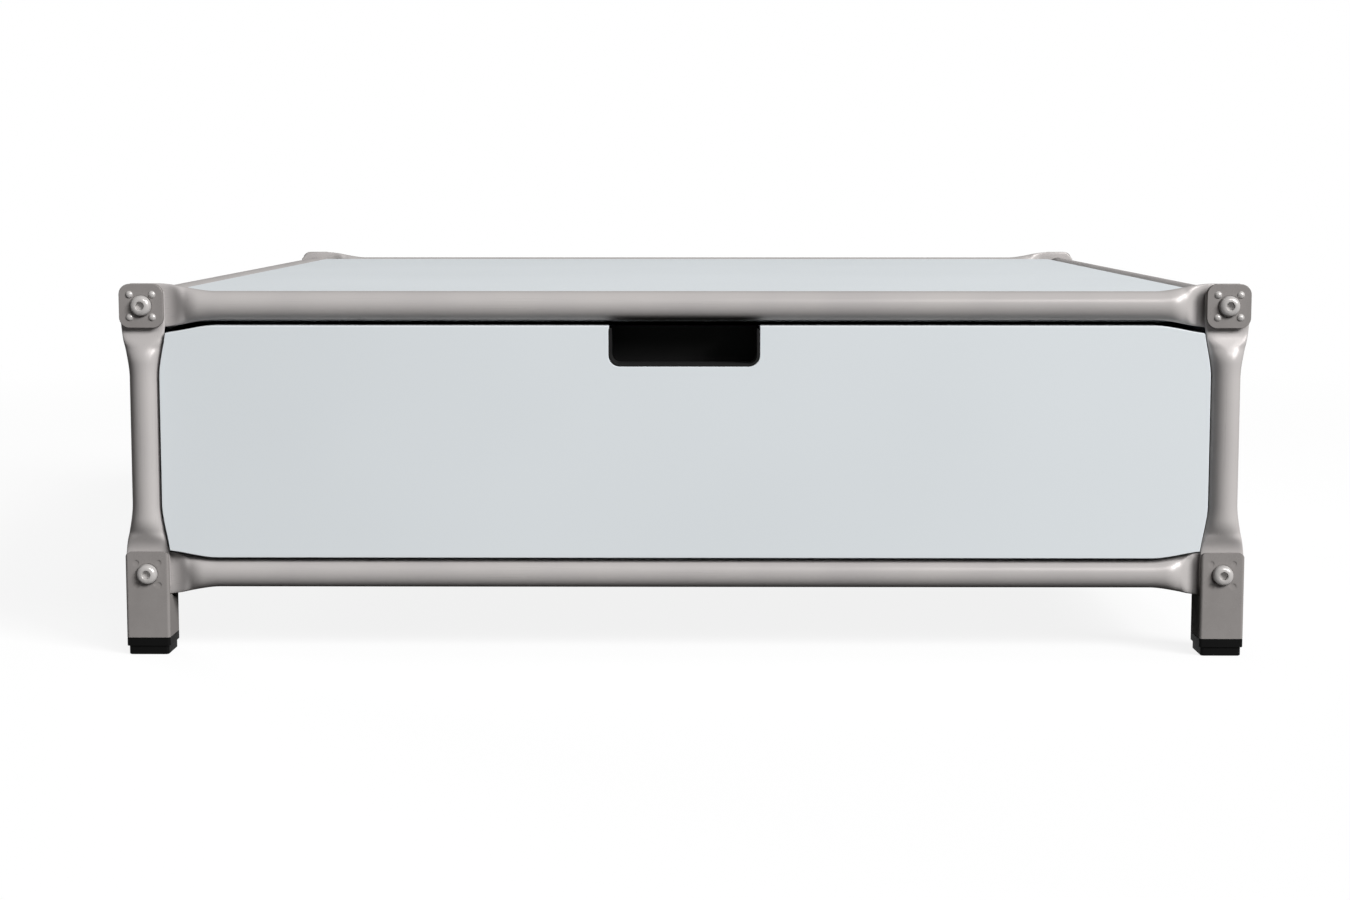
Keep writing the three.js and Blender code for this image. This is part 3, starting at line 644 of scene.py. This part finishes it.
# The grip plastic is a lighter copy of the foot plastic: partly its own grey, partly painted light against
# the shade of its pocket.
GRIP_PLASTIC_PAINTED_LIGHT = black_plastic("grip_plastic_painted_light", GRIP_TONES_PAINTED_LIGHT)


# Pressed tubes

def smoothstep(value, start, end):
    """A rise from 0 to 1 that starts and ends softly."""
    share = min(1.0, max(0.0, (value - start) / (end - start)))
    return share * share * (3 - 2 * share)


def slope(value, start, end, ease_share):
    """A straight rise from 0 to 1 whose ends are rounded off over a share of its length."""
    share = min(1.0, max(0.0, (value - start) / (end - start)))
    steepness = 1 / (1 - ease_share)
    if share < ease_share:
        return steepness * share ** 2 / (2 * ease_share)
    if share > 1 - ease_share:
        return 1 - steepness * (1 - share) ** 2 / (2 * ease_share)
    return steepness * (share - ease_share / 2)


def mix(first, second, share):
    return first + (second - first) * share


def half_width_at(distance):
    """Half the width of a tube in its pressed plane, at a distance from the node axis."""
    return mix(PRESSED_WIDTH / 2, TUBE_RADIUS, smoothstep(distance, FLARE_START, FLARE_END))


def half_thickness_at(distance):
    """Half the thickness across the pressed plane, which swells from the edge of the crossing tube."""
    swell = slope(distance, PRESSED_WIDTH / 2, SWELL_END, SWELL_EASE_SHARE)
    return mix(PRESSED_THICKNESS / 2, TUBE_RADIUS, swell)


def tube_end_stations():
    """(along, half width, half thickness) from the cut tip to the round tube."""
    half = PRESSED_WIDTH / 2
    thin = PRESSED_THICKNESS / 2
    tip_half = half - TIP_CHAMFER
    stations = [
        (-half, tip_half - EDGE_BREAK, thin - EDGE_BREAK),
        (-half + EDGE_BREAK, tip_half + EDGE_BREAK / 2, thin),
        (-half + TIP_CHAMFER, half, thin),
    ]
    for step in range(FLARE_STEPS + 1):
        along = mix(FLARE_START, FLARE_END, step / FLARE_STEPS)
        stations.append((along, half_width_at(along), half_thickness_at(along)))
    return stations


def pressed_ring(x, half_width, half_thickness):
    """The section of a squeezed tube: a circle, then an oval, then a flat bar with round edges."""
    pressed_share = (TUBE_RADIUS - half_thickness) / (TUBE_RADIUS - PRESSED_THICKNESS / 2)
    squareness = smoothstep(pressed_share, SQUARING_START_SHARE, 1)
    exponent = mix(ROUND_EXPONENT, SQUARE_EXPONENT, squareness)
    ring = []
    for index in range(RING_POINTS):
        angle = 2 * math.pi * (index + 0.5) / RING_POINTS
        across = math.copysign(abs(math.cos(angle)) ** (2 / exponent), math.cos(angle))
        through = math.copysign(abs(math.sin(angle)) ** (2 / exponent), math.sin(angle))
        ring.append((x, -half_thickness * through, half_width * across))
    return ring


def pressed_tube(name, span):
    """A tube along X with both ends pressed flat in the XZ plane and bored for the node screws."""
    stations = tube_end_stations()
    rings = [pressed_ring(along - span / 2, width, thick) for along, width, thick in stations]
    rings += [pressed_ring(span / 2 - along, width, thick) for along, width, thick in reversed(stations)]
    tube = from_bmesh(name, loft(rings), TUBE_STEEL)
    for x in (-span / 2, span / 2):
        reach = PRESSED_THICKNESS
        bore = lathe([(SCREW_HOLE_RADIUS, -reach), (SCREW_HOLE_RADIUS, reach)], SMALL_POINTS)
        bmesh.ops.translate(bore, verts=bore.verts, vec=(x, 0, 0))
        cut(tube, "DIFFERENCE", bore)
    return shade(tube, SOFT_EDGE_ANGLE)


def cross_rails():
    for level, height in LEVEL_Z.items():
        for end, way in ENDS.items():
            rail = pressed_tube(f"steel_rail_{level}_{end}", 2 * NODE_X)
            rail.location = (0, way * RAIL_Y, height)
            fit(rail, "frame", "tube_steel", f"rail_{level}_{end}")


def corner_posts():
    for end, way in ENDS.items():
        for hand, side in SIDES.items():
            post = pressed_tube(f"steel_post_{end}_{hand}", TOP_Z - BOTTOM_Z)
            post.rotation_euler = (0, -math.pi / 2, 0)
            post.location = (side * NODE_X, way * POST_Y, (BOTTOM_Z + TOP_Z) / 2)
            fit(post, "frame", "tube_steel", f"post_{end}_{hand}")


def tube_pin(y, direction):
    """A round pin that stands in a depth tube and points along a direction."""
    root = TUBE_RADIUS - TUBE_WALL / 2
    tip = TUBE_RADIUS + PIN_REACH
    pin = lathe([
        (PIN_RADIUS, root),
        (PIN_RADIUS, tip - EDGE_BREAK),
        (PIN_RADIUS - EDGE_BREAK, tip),
    ], SMALL_POINTS)
    turn = Vector((0, 1, 0)).rotation_difference(Vector(direction)).to_matrix()
    bmesh.ops.rotate(pin, verts=pin.verts, matrix=turn, cent=(0, 0, 0))
    bmesh.ops.translate(pin, verts=pin.verts, vec=(0, y, 0))
    return pin


def depth_tubes():
    """The plain tubes from front to back, with the pins that carry the boards and hold the side panels."""
    bore = TUBE_RADIUS - TUBE_WALL
    half = HALF_DEPTH_TUBE
    profile = [
        (bore, -half),
        (TUBE_RADIUS - EDGE_BREAK, -half),
        (TUBE_RADIUS, -half + EDGE_BREAK),
        (TUBE_RADIUS, half - EDGE_BREAK),
        (TUBE_RADIUS - EDGE_BREAK, half),
        (bore, half),
    ]
    for level, height in LEVEL_Z.items():
        for hand, side in SIDES.items():
            name = f"steel_depth_tube_{level}_{hand}"
            tube = from_bmesh(name, lathe(profile, RING_POINTS, closed=True), TUBE_STEEL)
            for way in ENDS.values():
                cut(tube, "UNION", tube_pin(way * BOARD_PIN_Y, (-side, 0, 0)))
                cut(tube, "UNION", tube_pin(way * PANEL_PIN_Y, (0, 0, INWARD[level])))
            tube.data.transform(Matrix.Rotation(math.pi / 2, 4, "Z"))
            tube.rotation_euler = (0, 0, -math.pi / 2)
            tube.location = (side * NODE_X, 0, height)
            shade(tube, SOFT_EDGE_ANGLE)
            fit(tube, "frame", "tube_steel", f"depth_tube_{level}_{hand}")


# Node hardware, drawn with its outside towards -Y and placed at each node

def placed(obj, end, hand, face_y, height):
    """Moves a piece drawn at the origin to a node; the back ones are turned round."""
    obj.location = (SIDES[hand] * NODE_X, ENDS[end] * face_y, height)
    if end == "back":
        obj.rotation_euler = (0, 0, math.pi)
    return obj


def dome_profile(depth):
    """A spherical cap towards -Y on a low foot that stands on Y 0, rooted at a depth behind it."""
    rise = DOME_HEIGHT - DOME_FOOT
    sphere = (DOME_RADIUS ** 2 + rise ** 2) / (2 * rise)
    open_angle = math.asin(DOME_RADIUS / sphere)
    profile = []
    for step in range(DOME_STEPS + 1):
        angle = open_angle * step / DOME_STEPS
        profile.append((sphere * math.sin(angle), sphere * (1 - math.cos(angle)) - DOME_HEIGHT))
    profile += [(DOME_RADIUS, depth), (0, depth)]
    return profile


def around_screw():
    """The four places round a screw where a cover has its domes and a leg tab its round marks."""
    offset = PRESSED_WIDTH / 2 - DOME_EDGE_DISTANCE
    return [(x, 0, z) for x in (-offset, offset) for z in (-offset, offset)]


def screw_seat(wall):
    """The hole for a node screw with a shallow sloped recess round its head, through a wall from Y 0."""
    floor_radius = SCREW_RECESS_RADIUS - SCREW_RECESS_SLOPE
    return lathe([
        (SCREW_RECESS_RADIUS, -OVERRUN),
        (SCREW_RECESS_RADIUS, 0),
        (floor_radius, SCREW_RECESS_DEPTH),
        (SCREW_HOLE_RADIUS, SCREW_RECESS_DEPTH),
        (SCREW_HOLE_RADIUS, wall + OVERRUN),
    ], ROUND_POINTS)


def cover_plate(name):
    """The square cover of a top node with its domes, which take the lighter screw steel as a painted
    highlight; its outer face is at Y 0.
    """
    half = PRESSED_WIDTH / 2
    outline = rounded_rectangle((-half, -half), (half, half), COVER_CORNER_RADIUS)
    plate = from_bmesh(name, prism_y(outline, 0, COVER_THICKNESS), PLATE_STEEL)
    break_edges(plate, EDGE_BREAK)
    for place in around_screw():
        dome = lathe(dome_profile(COVER_THICKNESS / 2), SMALL_POINTS)
        bmesh.ops.translate(dome, verts=dome.verts, vec=place)
        # The domes are joined in the lighter screw steel: a painted highlight on the plate's own steel.
        cut(plate, "UNION", dome, SCREW_STEEL)
    cut(plate, "DIFFERENCE", screw_seat(COVER_THICKNESS))
    return shade(plate, SOFT_EDGE_ANGLE, flats=True)


def screw_profile():
    """Half section of a button head screw from the flat of its head to its tip, as (radius, y)."""
    profile = []
    for step in range(HEAD_STEPS + 1):
        angle = math.pi / 2 * step / HEAD_STEPS
        radius = mix(HEAD_FLAT_RADIUS, HEAD_RADIUS, math.sin(angle))
        profile.append((radius, -mix(HEAD_RIM, HEAD_HEIGHT, math.cos(angle))))
    profile += [(HEAD_RADIUS, -EDGE_BREAK / 2), (HEAD_RADIUS - EDGE_BREAK / 2, 0), (SHANK_RADIUS, 0)]
    thread_root = SHANK_RADIUS - THREAD_PITCH / 2
    thread_end = SCREW_LENGTH - SCREW_TIP_CHAMFER
    y = THREAD_RUNOUT_TURNS * THREAD_PITCH
    while y < thread_end - THREAD_PITCH:
        profile += [(SHANK_RADIUS, y), (thread_root, y + THREAD_PITCH / 2)]
        y += THREAD_PITCH
    profile += [(SHANK_RADIUS, thread_end), (SHANK_RADIUS - SCREW_TIP_CHAMFER, SCREW_LENGTH)]
    return profile


def node_screw(name):
    """A button head screw pointing along +Y, its seat at Y 0, with a chamfered hexagon socket."""
    screw = from_bmesh(name, lathe(screw_profile(), ROUND_POINTS), SCREW_STEEL)
    across_corners = SOCKET_ACROSS_FLATS / math.cos(math.pi / HEXAGON_SIDES)
    floor = -HEAD_HEIGHT + SOCKET_DEPTH
    socket = lathe([
        (across_corners / 2, -HEAD_HEIGHT - OVERRUN),
        (across_corners / 2, floor),
        (0, floor + across_corners * SOCKET_POINT_SHARE),
    ], HEXAGON_SIDES)
    cut(screw, "DIFFERENCE", socket)
    mouth = across_corners / 2 + SOCKET_CHAMFER
    chamfer = lathe([(mouth + OVERRUN, -HEAD_HEIGHT - OVERRUN), (0, -HEAD_HEIGHT + mouth)], ROUND_POINTS)
    cut(screw, "DIFFERENCE", chamfer)
    return shade(screw, CRISP_EDGE_ANGLE)


def leg_tab(outline, foot_z, shoulder):
    """The front wall of a leg with its round-cornered tab, kept within the outline of the tube."""
    half = PRESSED_WIDTH / 2
    radius = TAB_CORNER_RADIUS
    wall = [(half, shoulder - LEG_WALL)]
    wall += arc((half - radius, TAB_RISE - radius), radius, 0, 90, CORNER_STEPS)
    wall += arc((-half + radius, TAB_RISE - radius), radius, 90, 180, CORNER_STEPS)
    wall += [(-half, shoulder - LEG_WALL)]
    tab = from_bmesh("tab", prism_y(wall, 0, LEG_WALL), PLATE_STEEL)
    return cut(tab, "INTERSECT", prism_z(outline, foot_z - OVERRUN, TAB_RISE + OVERRUN))


def tab_mark():
    """A shallow round mark with a sloped wall, sunk from Y 0."""
    return lathe([
        (TAB_MARK_RADIUS, -OVERRUN),
        (TAB_MARK_RADIUS, 0),
        (TAB_MARK_RADIUS - TAB_MARK_SLOPE, TAB_MARK_DEPTH),
    ], SMALL_POINTS)


def leg(name):
    """A square tube whose front wall rises over the node; outer face at Y 0, node axis at Z 0."""
    half = PRESSED_WIDTH / 2
    foot_z = FOOT_TOP_Z - BOTTOM_Z
    shoulder = -half - SEAT_GAP
    outline = rounded_rectangle((-half, 0), (half, PRESSED_WIDTH), LEG_CORNER_RADIUS)
    stand = from_bmesh(name, prism_z(outline, foot_z, shoulder), PLATE_STEEL)
    cut(stand, "UNION", into_bmesh(leg_tab(outline, foot_z, shoulder), bmesh.new()))
    inner = box_points((-half + LEG_WALL, LEG_WALL), (half - LEG_WALL, PRESSED_WIDTH - LEG_WALL))
    cut(stand, "DIFFERENCE", prism_z(inner, foot_z - OVERRUN, shoulder + OVERRUN))
    break_edges(stand, EDGE_BREAK, FINE_BEVEL_SEGMENTS)
    for place in around_screw():
        mark = tab_mark()
        bmesh.ops.translate(mark, verts=mark.verts, vec=place)
        cut(stand, "DIFFERENCE", mark)
    cut(stand, "DIFFERENCE", screw_seat(LEG_WALL))
    return shade(stand, SOFT_EDGE_ANGLE, flats=True)


def foot(name):
    """A moulded foot: collar, grooved step, sole and plug; the outer face of the leg is at Y 0."""
    half = PRESSED_WIDTH / 2
    depth = PRESSED_WIDTH
    top = FOOT_TOP_Z - SEAT_GAP
    step = top - FOOT_COLLAR_HEIGHT
    plug_inset = LEG_WALL + FOOT_PLUG_GAP
    plug_top = top + FOOT_PLUG_HEIGHT

    def ring(inset, z):
        outline = rounded_rectangle((-half + inset, inset), (half - inset, depth - inset), LEG_CORNER_RADIUS)
        return [(x, y, z) for x, y in outline]

    rings = [
        ring(FOOT_INSET + FOOT_CHAMFER, 0),
        ring(FOOT_INSET, FOOT_CHAMFER),
        ring(FOOT_INSET, step - FOOT_GROOVE),
        ring(FOOT_INSET + FOOT_GROOVE, step - FOOT_GROOVE),
        ring(FOOT_INSET + FOOT_GROOVE, step),
        ring(FOOT_GROOVE / 2, step),
        ring(0, step + FOOT_GROOVE / 2),
        ring(0, top - FOOT_GROOVE / 2),
        ring(FOOT_GROOVE / 2, top),
        ring(plug_inset, top),
        ring(plug_inset, plug_top - FOOT_CHAMFER),
        ring(plug_inset + FOOT_CHAMFER, plug_top),
    ]
    return shade(from_bmesh(name, loft(rings), FOOT_PLASTIC), CRISP_EDGE_ANGLE)


def node_hardware():
    for end in ENDS:
        for hand in SIDES:
            corner = f"{end}_{hand}"
            cover = placed(cover_plate(f"domed_cover_{corner}"), end, hand, COVER_FACE_Y, TOP_Z)
            fit(cover, "frame", "plate_steel", f"cover_plate_{corner}")
            stand = placed(leg(f"tabbed_leg_{corner}"), end, hand, LEG_FACE_Y, BOTTOM_Z)
            fit(stand, "frame", "plate_steel", f"leg_{corner}")
            pad = placed(foot(f"moulded_foot_{corner}"), end, hand, LEG_FACE_Y, 0)
            fit(pad, "frame", "black_plastic", f"foot_{corner}")
            for level, face_y in (("top", COVER_FACE_Y), ("bottom", LEG_FACE_Y)):
                screw = node_screw(f"button_screw_{level}_{corner}")
                placed(screw, end, hand, face_y - SCREW_RECESS_DEPTH + SEAT_GAP, LEVEL_Z[level])
                fit(screw, "frame", "screw_steel", f"screw_{level}_{corner}")


# Boards, panels and grip

def bay_outline(top_gap, bottom_gap, side_gap):
    """The (x, z) outline between two posts and two rails, a gap away from their flared ends."""
    gap = {"top": top_gap, "bottom": bottom_gap}

    def rail_edge(level, from_node):
        return LEVEL_Z[level] + INWARD[level] * (half_width_at(from_node) + gap[level])

    def post_edge(from_node):
        return NODE_X - half_width_at(from_node) - side_gap

    def quarter(level):
        """One corner, from the post to the rail, through the point where both edges meet."""
        x = post_edge(0)
        z = rail_edge(level, 0)
        for _ in range(CORNER_PASSES):
            z = rail_edge(level, NODE_X - x)
            x = post_edge(abs(z - LEVEL_Z[level]))
        points = []
        for step in range(OUTLINE_STEPS, 0, -1):
            from_node = mix(abs(z - LEVEL_Z[level]), FLARE_END, step / OUTLINE_STEPS)
            points.append((post_edge(from_node), LEVEL_Z[level] + INWARD[level] * from_node))
        points.append((x, z))
        for step in range(1, OUTLINE_STEPS + 1):
            from_node = mix(NODE_X - x, FLARE_END, step / OUTLINE_STEPS)
            points.append((NODE_X - from_node, rail_edge(level, from_node)))
        return points

    top = quarter("top")
    bottom = quarter("bottom")
    top_left = [(-x, z) for x, z in top]
    bottom_left = [(-x, z) for x, z in bottom]
    return top + top_left[::-1] + bottom_left + bottom[::-1]


def back_panel():
    low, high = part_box("back_panel")
    outline = bay_outline(BACK_PANEL_GAP, BACK_PANEL_GAP, BACK_PANEL_GAP)
    panel = from_bmesh("laminate_back_panel", prism_y(outline, low.y, high.y), LAMINATE)
    break_edges(panel, BOARD_EDGE_BREAK)
    fit(panel, "frame", "laminate", "back_panel")


def grip_outline(top, inset):
    """The grip notch as (x, z) points, drawn down from a height and made smaller by an inset."""
    half = GRIP_WIDTH / 2 - inset
    low = FRONT_TOP_Z - GRIP_DROP + inset
    radius = GRIP_CORNER_RADIUS - inset
    points = [(half, top), (-half, top)]
    points += arc((-half + radius, low + radius), radius, 180, 270, CORNER_STEPS)
    points += arc((half - radius, low + radius), radius, 270, 360, CORNER_STEPS)
    return points


def drawer_front():
    outline = bay_outline(FRONT_TOP_GAP, FRONT_BOTTOM_GAP, FRONT_SIDE_GAP)
    front = from_bmesh("laminate_drawer_front", prism_y(outline, FRONT_FACE_Y, FRONT_BACK_Y), LAMINATE)
    notch = grip_outline(FRONT_TOP_Z + OVERRUN, -SEAT_GAP)
    cut(front, "DIFFERENCE", prism_y(notch, FRONT_FACE_Y - OVERRUN, FRONT_BACK_Y + OVERRUN))
    break_edges(front, BOARD_EDGE_BREAK)
    fit(front, "drawer", "laminate", "drawer_front")


def grip_cup():
    """The black lining of the notch and the pocket behind it."""
    low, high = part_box("grip_cup")
    radius = GRIP_POCKET_RADIUS
    wall = GRIP_POCKET_WALL
    front = FRONT_BACK_Y + SEAT_GAP
    top = FRONT_TOP_Z - GRIP_POCKET_BELOW_EDGE
    lining = prism_y(grip_outline(top, 0), FRONT_FACE_Y, front + wall / 2)
    # The lining takes the lightened grip plastic, partly painted light for the shade in the pocket.
    cup = from_bmesh("moulded_grip", lining, GRIP_PLASTIC_PAINTED_LIGHT)
    outside = rounded_rectangle((low.x, low.z), (high.x, top + radius), radius)
    outside = [(x, min(z, top)) for x, z in outside]
    cut(cup, "UNION", prism_y(outside, front, high.y))
    inside_high = (high.x - wall, top + 2 * radius)
    inside = rounded_rectangle((low.x + wall, low.z + wall), inside_high, radius - wall)
    cut(cup, "DIFFERENCE", prism_y(inside, front + wall, high.y - wall))
    mouth = grip_outline(FRONT_TOP_Z + OVERRUN, GRIP_LINING)
    cut(cup, "DIFFERENCE", prism_y(mouth, FRONT_FACE_Y - OVERRUN, front + wall + OVERRUN))
    break_edges(cup, EDGE_BREAK, FINE_BEVEL_SEGMENTS)
    fit(cup, "drawer", "black_plastic", "grip_cup")


def plain_boards():
    """The boards that keep their CAD mesh, with broken edges."""
    for node in ("top_board", "bottom_board", "side_panel_left", "side_panel_right"):
        soften_cad(node, LAMINATE, BOARD_EDGE_BREAK)
    for node in ("drawer_side_left", "drawer_side_right", "drawer_back", "drawer_bottom"):
        soften_cad(node, CARCASS, BOARD_EDGE_BREAK)


# Runners

def channel_outline(height, depth, lip):
    """A channel of bent sheet as (x, z) points; the back of its web is at X 0 and it opens towards -X."""
    half = height / 2
    bend = (-RUNNER_BEND, half - RUNNER_BEND)
    inner = RUNNER_BEND - RUNNER_SHEET
    upper = arc(bend, RUNNER_BEND, 0, 90, BEND_STEPS)
    if lip > RUNNER_BEND:
        lip_bend = (-depth + RUNNER_BEND, half - RUNNER_BEND)
        upper += arc(lip_bend, RUNNER_BEND, 90, 180, BEND_STEPS)
        upper += [(-depth, half - lip), (-depth + RUNNER_SHEET, half - lip)]
        upper += arc(lip_bend, inner, 180, 90, BEND_STEPS)
    else:
        upper += [(-depth, half), (-depth, half - RUNNER_SHEET)]
    upper += arc(bend, inner, 90, 0, BEND_STEPS)
    return upper + [(x, -z) for x, z in reversed(upper)]


def spaced(length, count):
    """Places along Y at equal steps, centred on 0."""
    return [length * ((index + 0.5) / count - 0.5) for index in range(count)]


def web_slot(y):
    """A round-ended slot through the web of a runner member."""
    reach = RUNNER_SLOT_LENGTH / 2
    radius = RUNNER_SLOT_WIDTH / 2
    corner = radius * RUNNER_SLOT_ROUND_SHARE
    outline = rounded_rectangle((y - reach, -radius), (y + reach, radius), corner)
    return loft([[(x, across, z) for across, z in outline] for x in (-RUNNER_SHEET - OVERRUN, OVERRUN)])


def web_screw(y, height):
    """A flat screw head with a cross slit on the inner face of a web, rooted in the sheet."""
    head = lathe([
        (RUNNER_SCREW_RADIUS, -RUNNER_SHEET / 2),
        (RUNNER_SCREW_RADIUS, height - RUNNER_SCREW_EDGE),
        (RUNNER_SCREW_RADIUS - RUNNER_SCREW_EDGE, height),
    ], SMALL_POINTS)
    screw = from_bmesh("screw", head, ZINC_STEEL)
    long = RUNNER_SCREW_CROSS / 2
    thin = RUNNER_SCREW_SLIT / 2
    for half_x, half_z in ((long, thin), (thin, long)):
        slit = box_points((-half_x, -half_z), (half_x, half_z))
        cut(screw, "DIFFERENCE", prism_y(slit, height / 2, height + OVERRUN))
    turn = Matrix.Rotation(math.pi / 2, 4, "Z")
    screw.data.transform(Matrix.Translation((-RUNNER_SHEET, y, 0)) @ turn)
    return screw


def runner_member(node, opens, lip, head_height):
    """One member of bent sheet in the place of its node, opening towards -X or +X."""
    low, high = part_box(node)
    length = high.y - low.y
    outline = channel_outline(high.z - low.z, high.x - low.x, lip)
    member = from_bmesh(f"sheet_{node}", prism_y(outline, -length / 2, length / 2), ZINC_STEEL)
    for y in spaced(length, RUNNER_SLOTS):
        cut(member, "DIFFERENCE", web_slot(y))
    break_edges(member, RUNNER_EDGE_BREAK, FINE_BEVEL_SEGMENTS)
    if head_height:
        heads = bmesh.new()
        for y in spaced(length, RUNNER_SCREWS):
            into_bmesh(web_screw(y, head_height), heads)
        cut(member, "UNION", heads)
    shade(member, CRISP_EDGE_ANGLE, flats=True)
    if opens > 0:
        member.rotation_euler = (0, 0, math.pi)
    member.location = (low.x if opens > 0 else high.x, (low.y + high.y) / 2, (low.z + high.z) / 2)
    return member


def runners():
    """Both telescopic runners, each member riding with its own body."""
    heights = {}
    for member in ("cabinet", "middle", "drawer"):
        low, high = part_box(f"runner_{member}_member_right")
        heights[member] = high.z - low.z
    lips = {
        "cabinet": (heights["cabinet"] - heights["middle"]) / 2 - RUNNER_RUNNING_GAP,
        "middle": (heights["middle"] - heights["drawer"]) / 2 - RUNNER_RUNNING_GAP,
        "drawer": 0,
    }
    heads = {"cabinet": RUNNER_RUNNING_GAP, "middle": 0, "drawer": RUNNER_SHEET}
    for hand, side in SIDES.items():
        bodies = {"cabinet": "frame", "middle": f"runner_middle_{hand}", "drawer": "drawer"}
        for member, body in bodies.items():
            node = f"runner_{member}_member_{hand}"
            opens = side if member == "drawer" else -side
            piece = runner_member(node, opens, lips[member], heads[member])
            fit(piece, body, "zinc_steel", node)


def plugs():
    """The threaded plugs, which keep their CAD mesh, with broken edges."""
    for level in LEVEL_Z:
        for end in ENDS:
            for hand in SIDES:
                soften_cad(f"thread_plug_{level}_{end}_{hand}", ZINC_STEEL, EDGE_BREAK / 2)


# Studio

def camera():
    data = bpy.data.cameras.new("camera")
    data.sensor_width = SENSOR_WIDTH
    data.lens = FOCAL_PIXELS * SENSOR_WIDTH / IMAGE_WIDTH
    data.shift_x = (IMAGE_WIDTH / 2 - CENTRE_COLUMN) / IMAGE_WIDTH
    data.shift_y = (CENTRE_ROW - IMAGE_HEIGHT / 2) / IMAGE_WIDTH
    eye = bpy.data.objects.new("camera", data)
    eye.location = (CAMERA_SIDE, -COVER_FACE_Y - CAMERA_DISTANCE, CAMERA_HEIGHT)
    eye.rotation_euler = (math.radians(90 - CAMERA_PITCH), 0, math.radians(CAMERA_YAW))
    bpy.context.scene.collection.objects.link(eye)
    bpy.context.scene.camera = eye


def background_rays(tree):
    """1 for the rays that see the background: camera, glossy and transmission rays."""
    path = tree.nodes.new("ShaderNodeLightPath")
    seen = path.outputs["Is Camera Ray"]
    for kind in ("Is Glossy Ray", "Is Transmission Ray"):
        larger = tree.nodes.new("ShaderNodeMath")
        larger.operation = "MAXIMUM"
        tree.links.new(seen, larger.inputs[0])
        tree.links.new(path.outputs[kind], larger.inputs[1])
        seen = larger.outputs[0]
    return seen


def white_world():
    """A room that is seen as white and gives a faint light from all sides."""
    world = bpy.data.worlds.new("white_room")
    world.use_nodes = True
    tree = world.node_tree
    background = tree.nodes["Background"]
    background.inputs["Color"].default_value = (1, 1, 1, 1)
    strength = tree.nodes.new("ShaderNodeMix")
    strength.inputs["A"].default_value = AMBIENT
    strength.inputs["B"].default_value = 1.0
    tree.links.new(background_rays(tree), strength.inputs["Factor"])
    tree.links.new(strength.outputs["Result"], background.inputs["Strength"])
    bpy.context.scene.world = world


def floor_material():
    """White with a light shadow near the table for the rays that see it, and dark for all others."""
    shader = Shader("pale_floor")
    seen = background_rays(shader.tree)
    shader.wire(shader.mixed(seen, FLOOR_BOUNCE, FLOOR_SEEN), shader.surface.inputs["Base Color"])
    shader.set(Roughness=1.0, Specular_IOR_Level=0.0)
    distance = shader.add("ShaderNodeVectorMath", operation="LENGTH")
    shader.wire(shader.place, distance.inputs[0])
    lift = shader.span(distance.outputs["Value"], SHADOW_LIFT, 1.0, SHADOW_REACH, SHADOW_END, "SMOOTHSTEP")
    share = shader.add("ShaderNodeMath", operation="MULTIPLY")
    shader.wire(seen, share.inputs[0])
    shader.wire(lift, share.inputs[1])
    glow = shader.add("ShaderNodeEmission")
    blend = shader.add("ShaderNodeMixShader")
    shader.wire(share.outputs[0], blend.inputs[0])
    shader.wire(shader.surface.outputs[0], blend.inputs[1])
    shader.wire(glow.outputs[0], blend.inputs[2])
    shader.wire(blend.outputs[0], shader.tree.nodes["Material Output"].inputs["Surface"])
    return shader.material


def pale_floor():
    """A wide floor that shows white, keeps a light shadow near the table and throws back little light."""
    mesh = bpy.data.meshes.new("floor")
    bm = bmesh.new()
    outline = box_points((-FLOOR_REACH, -FLOOR_REACH), (FLOOR_REACH, FLOOR_REACH))
    bm.faces.new([bm.verts.new((x, y, -FLOOR_GAP)) for x, y in outline])
    bm.to_mesh(mesh)
    bm.free()
    link("floor", mesh, floor_material())


def softbox(name, direction, side, level, glossy=True):
    """A square lamp aimed at the table; at a level of 1 a white surface that faces it shows white."""
    data = bpy.data.lights.new(name, "AREA")
    data.size = side
    data.energy = level * (math.pi * LAMP_DISTANCE) ** 2
    lamp = bpy.data.objects.new(name, data)
    way = Vector(direction).normalized()
    lamp.location = Vector(LIT_POINT) + way * LAMP_DISTANCE
    lamp.rotation_euler = (-way).to_track_quat("-Z", "Y").to_euler()
    lamp.visible_glossy = glossy
    bpy.context.scene.collection.objects.link(lamp)


def studio():
    white_world()
    pale_floor()
    softbox("key_box", KEY_DIRECTION, KEY_SIDE, KEY_LEVEL)
    softbox("glint_box", GLINT_DIRECTION, GLINT_SIDE, GLINT_LEVEL)
    softbox("rear_fill", REAR_DIRECTION, REAR_SIDE, REAR_LEVEL, glossy=False)


bpy.context.scene.view_settings.view_transform = "Standard"
cross_rails()
corner_posts()
depth_tubes()
node_hardware()
back_panel()
drawer_front()
grip_cup()
plain_boards()
runners()
plugs()
camera()
studio()
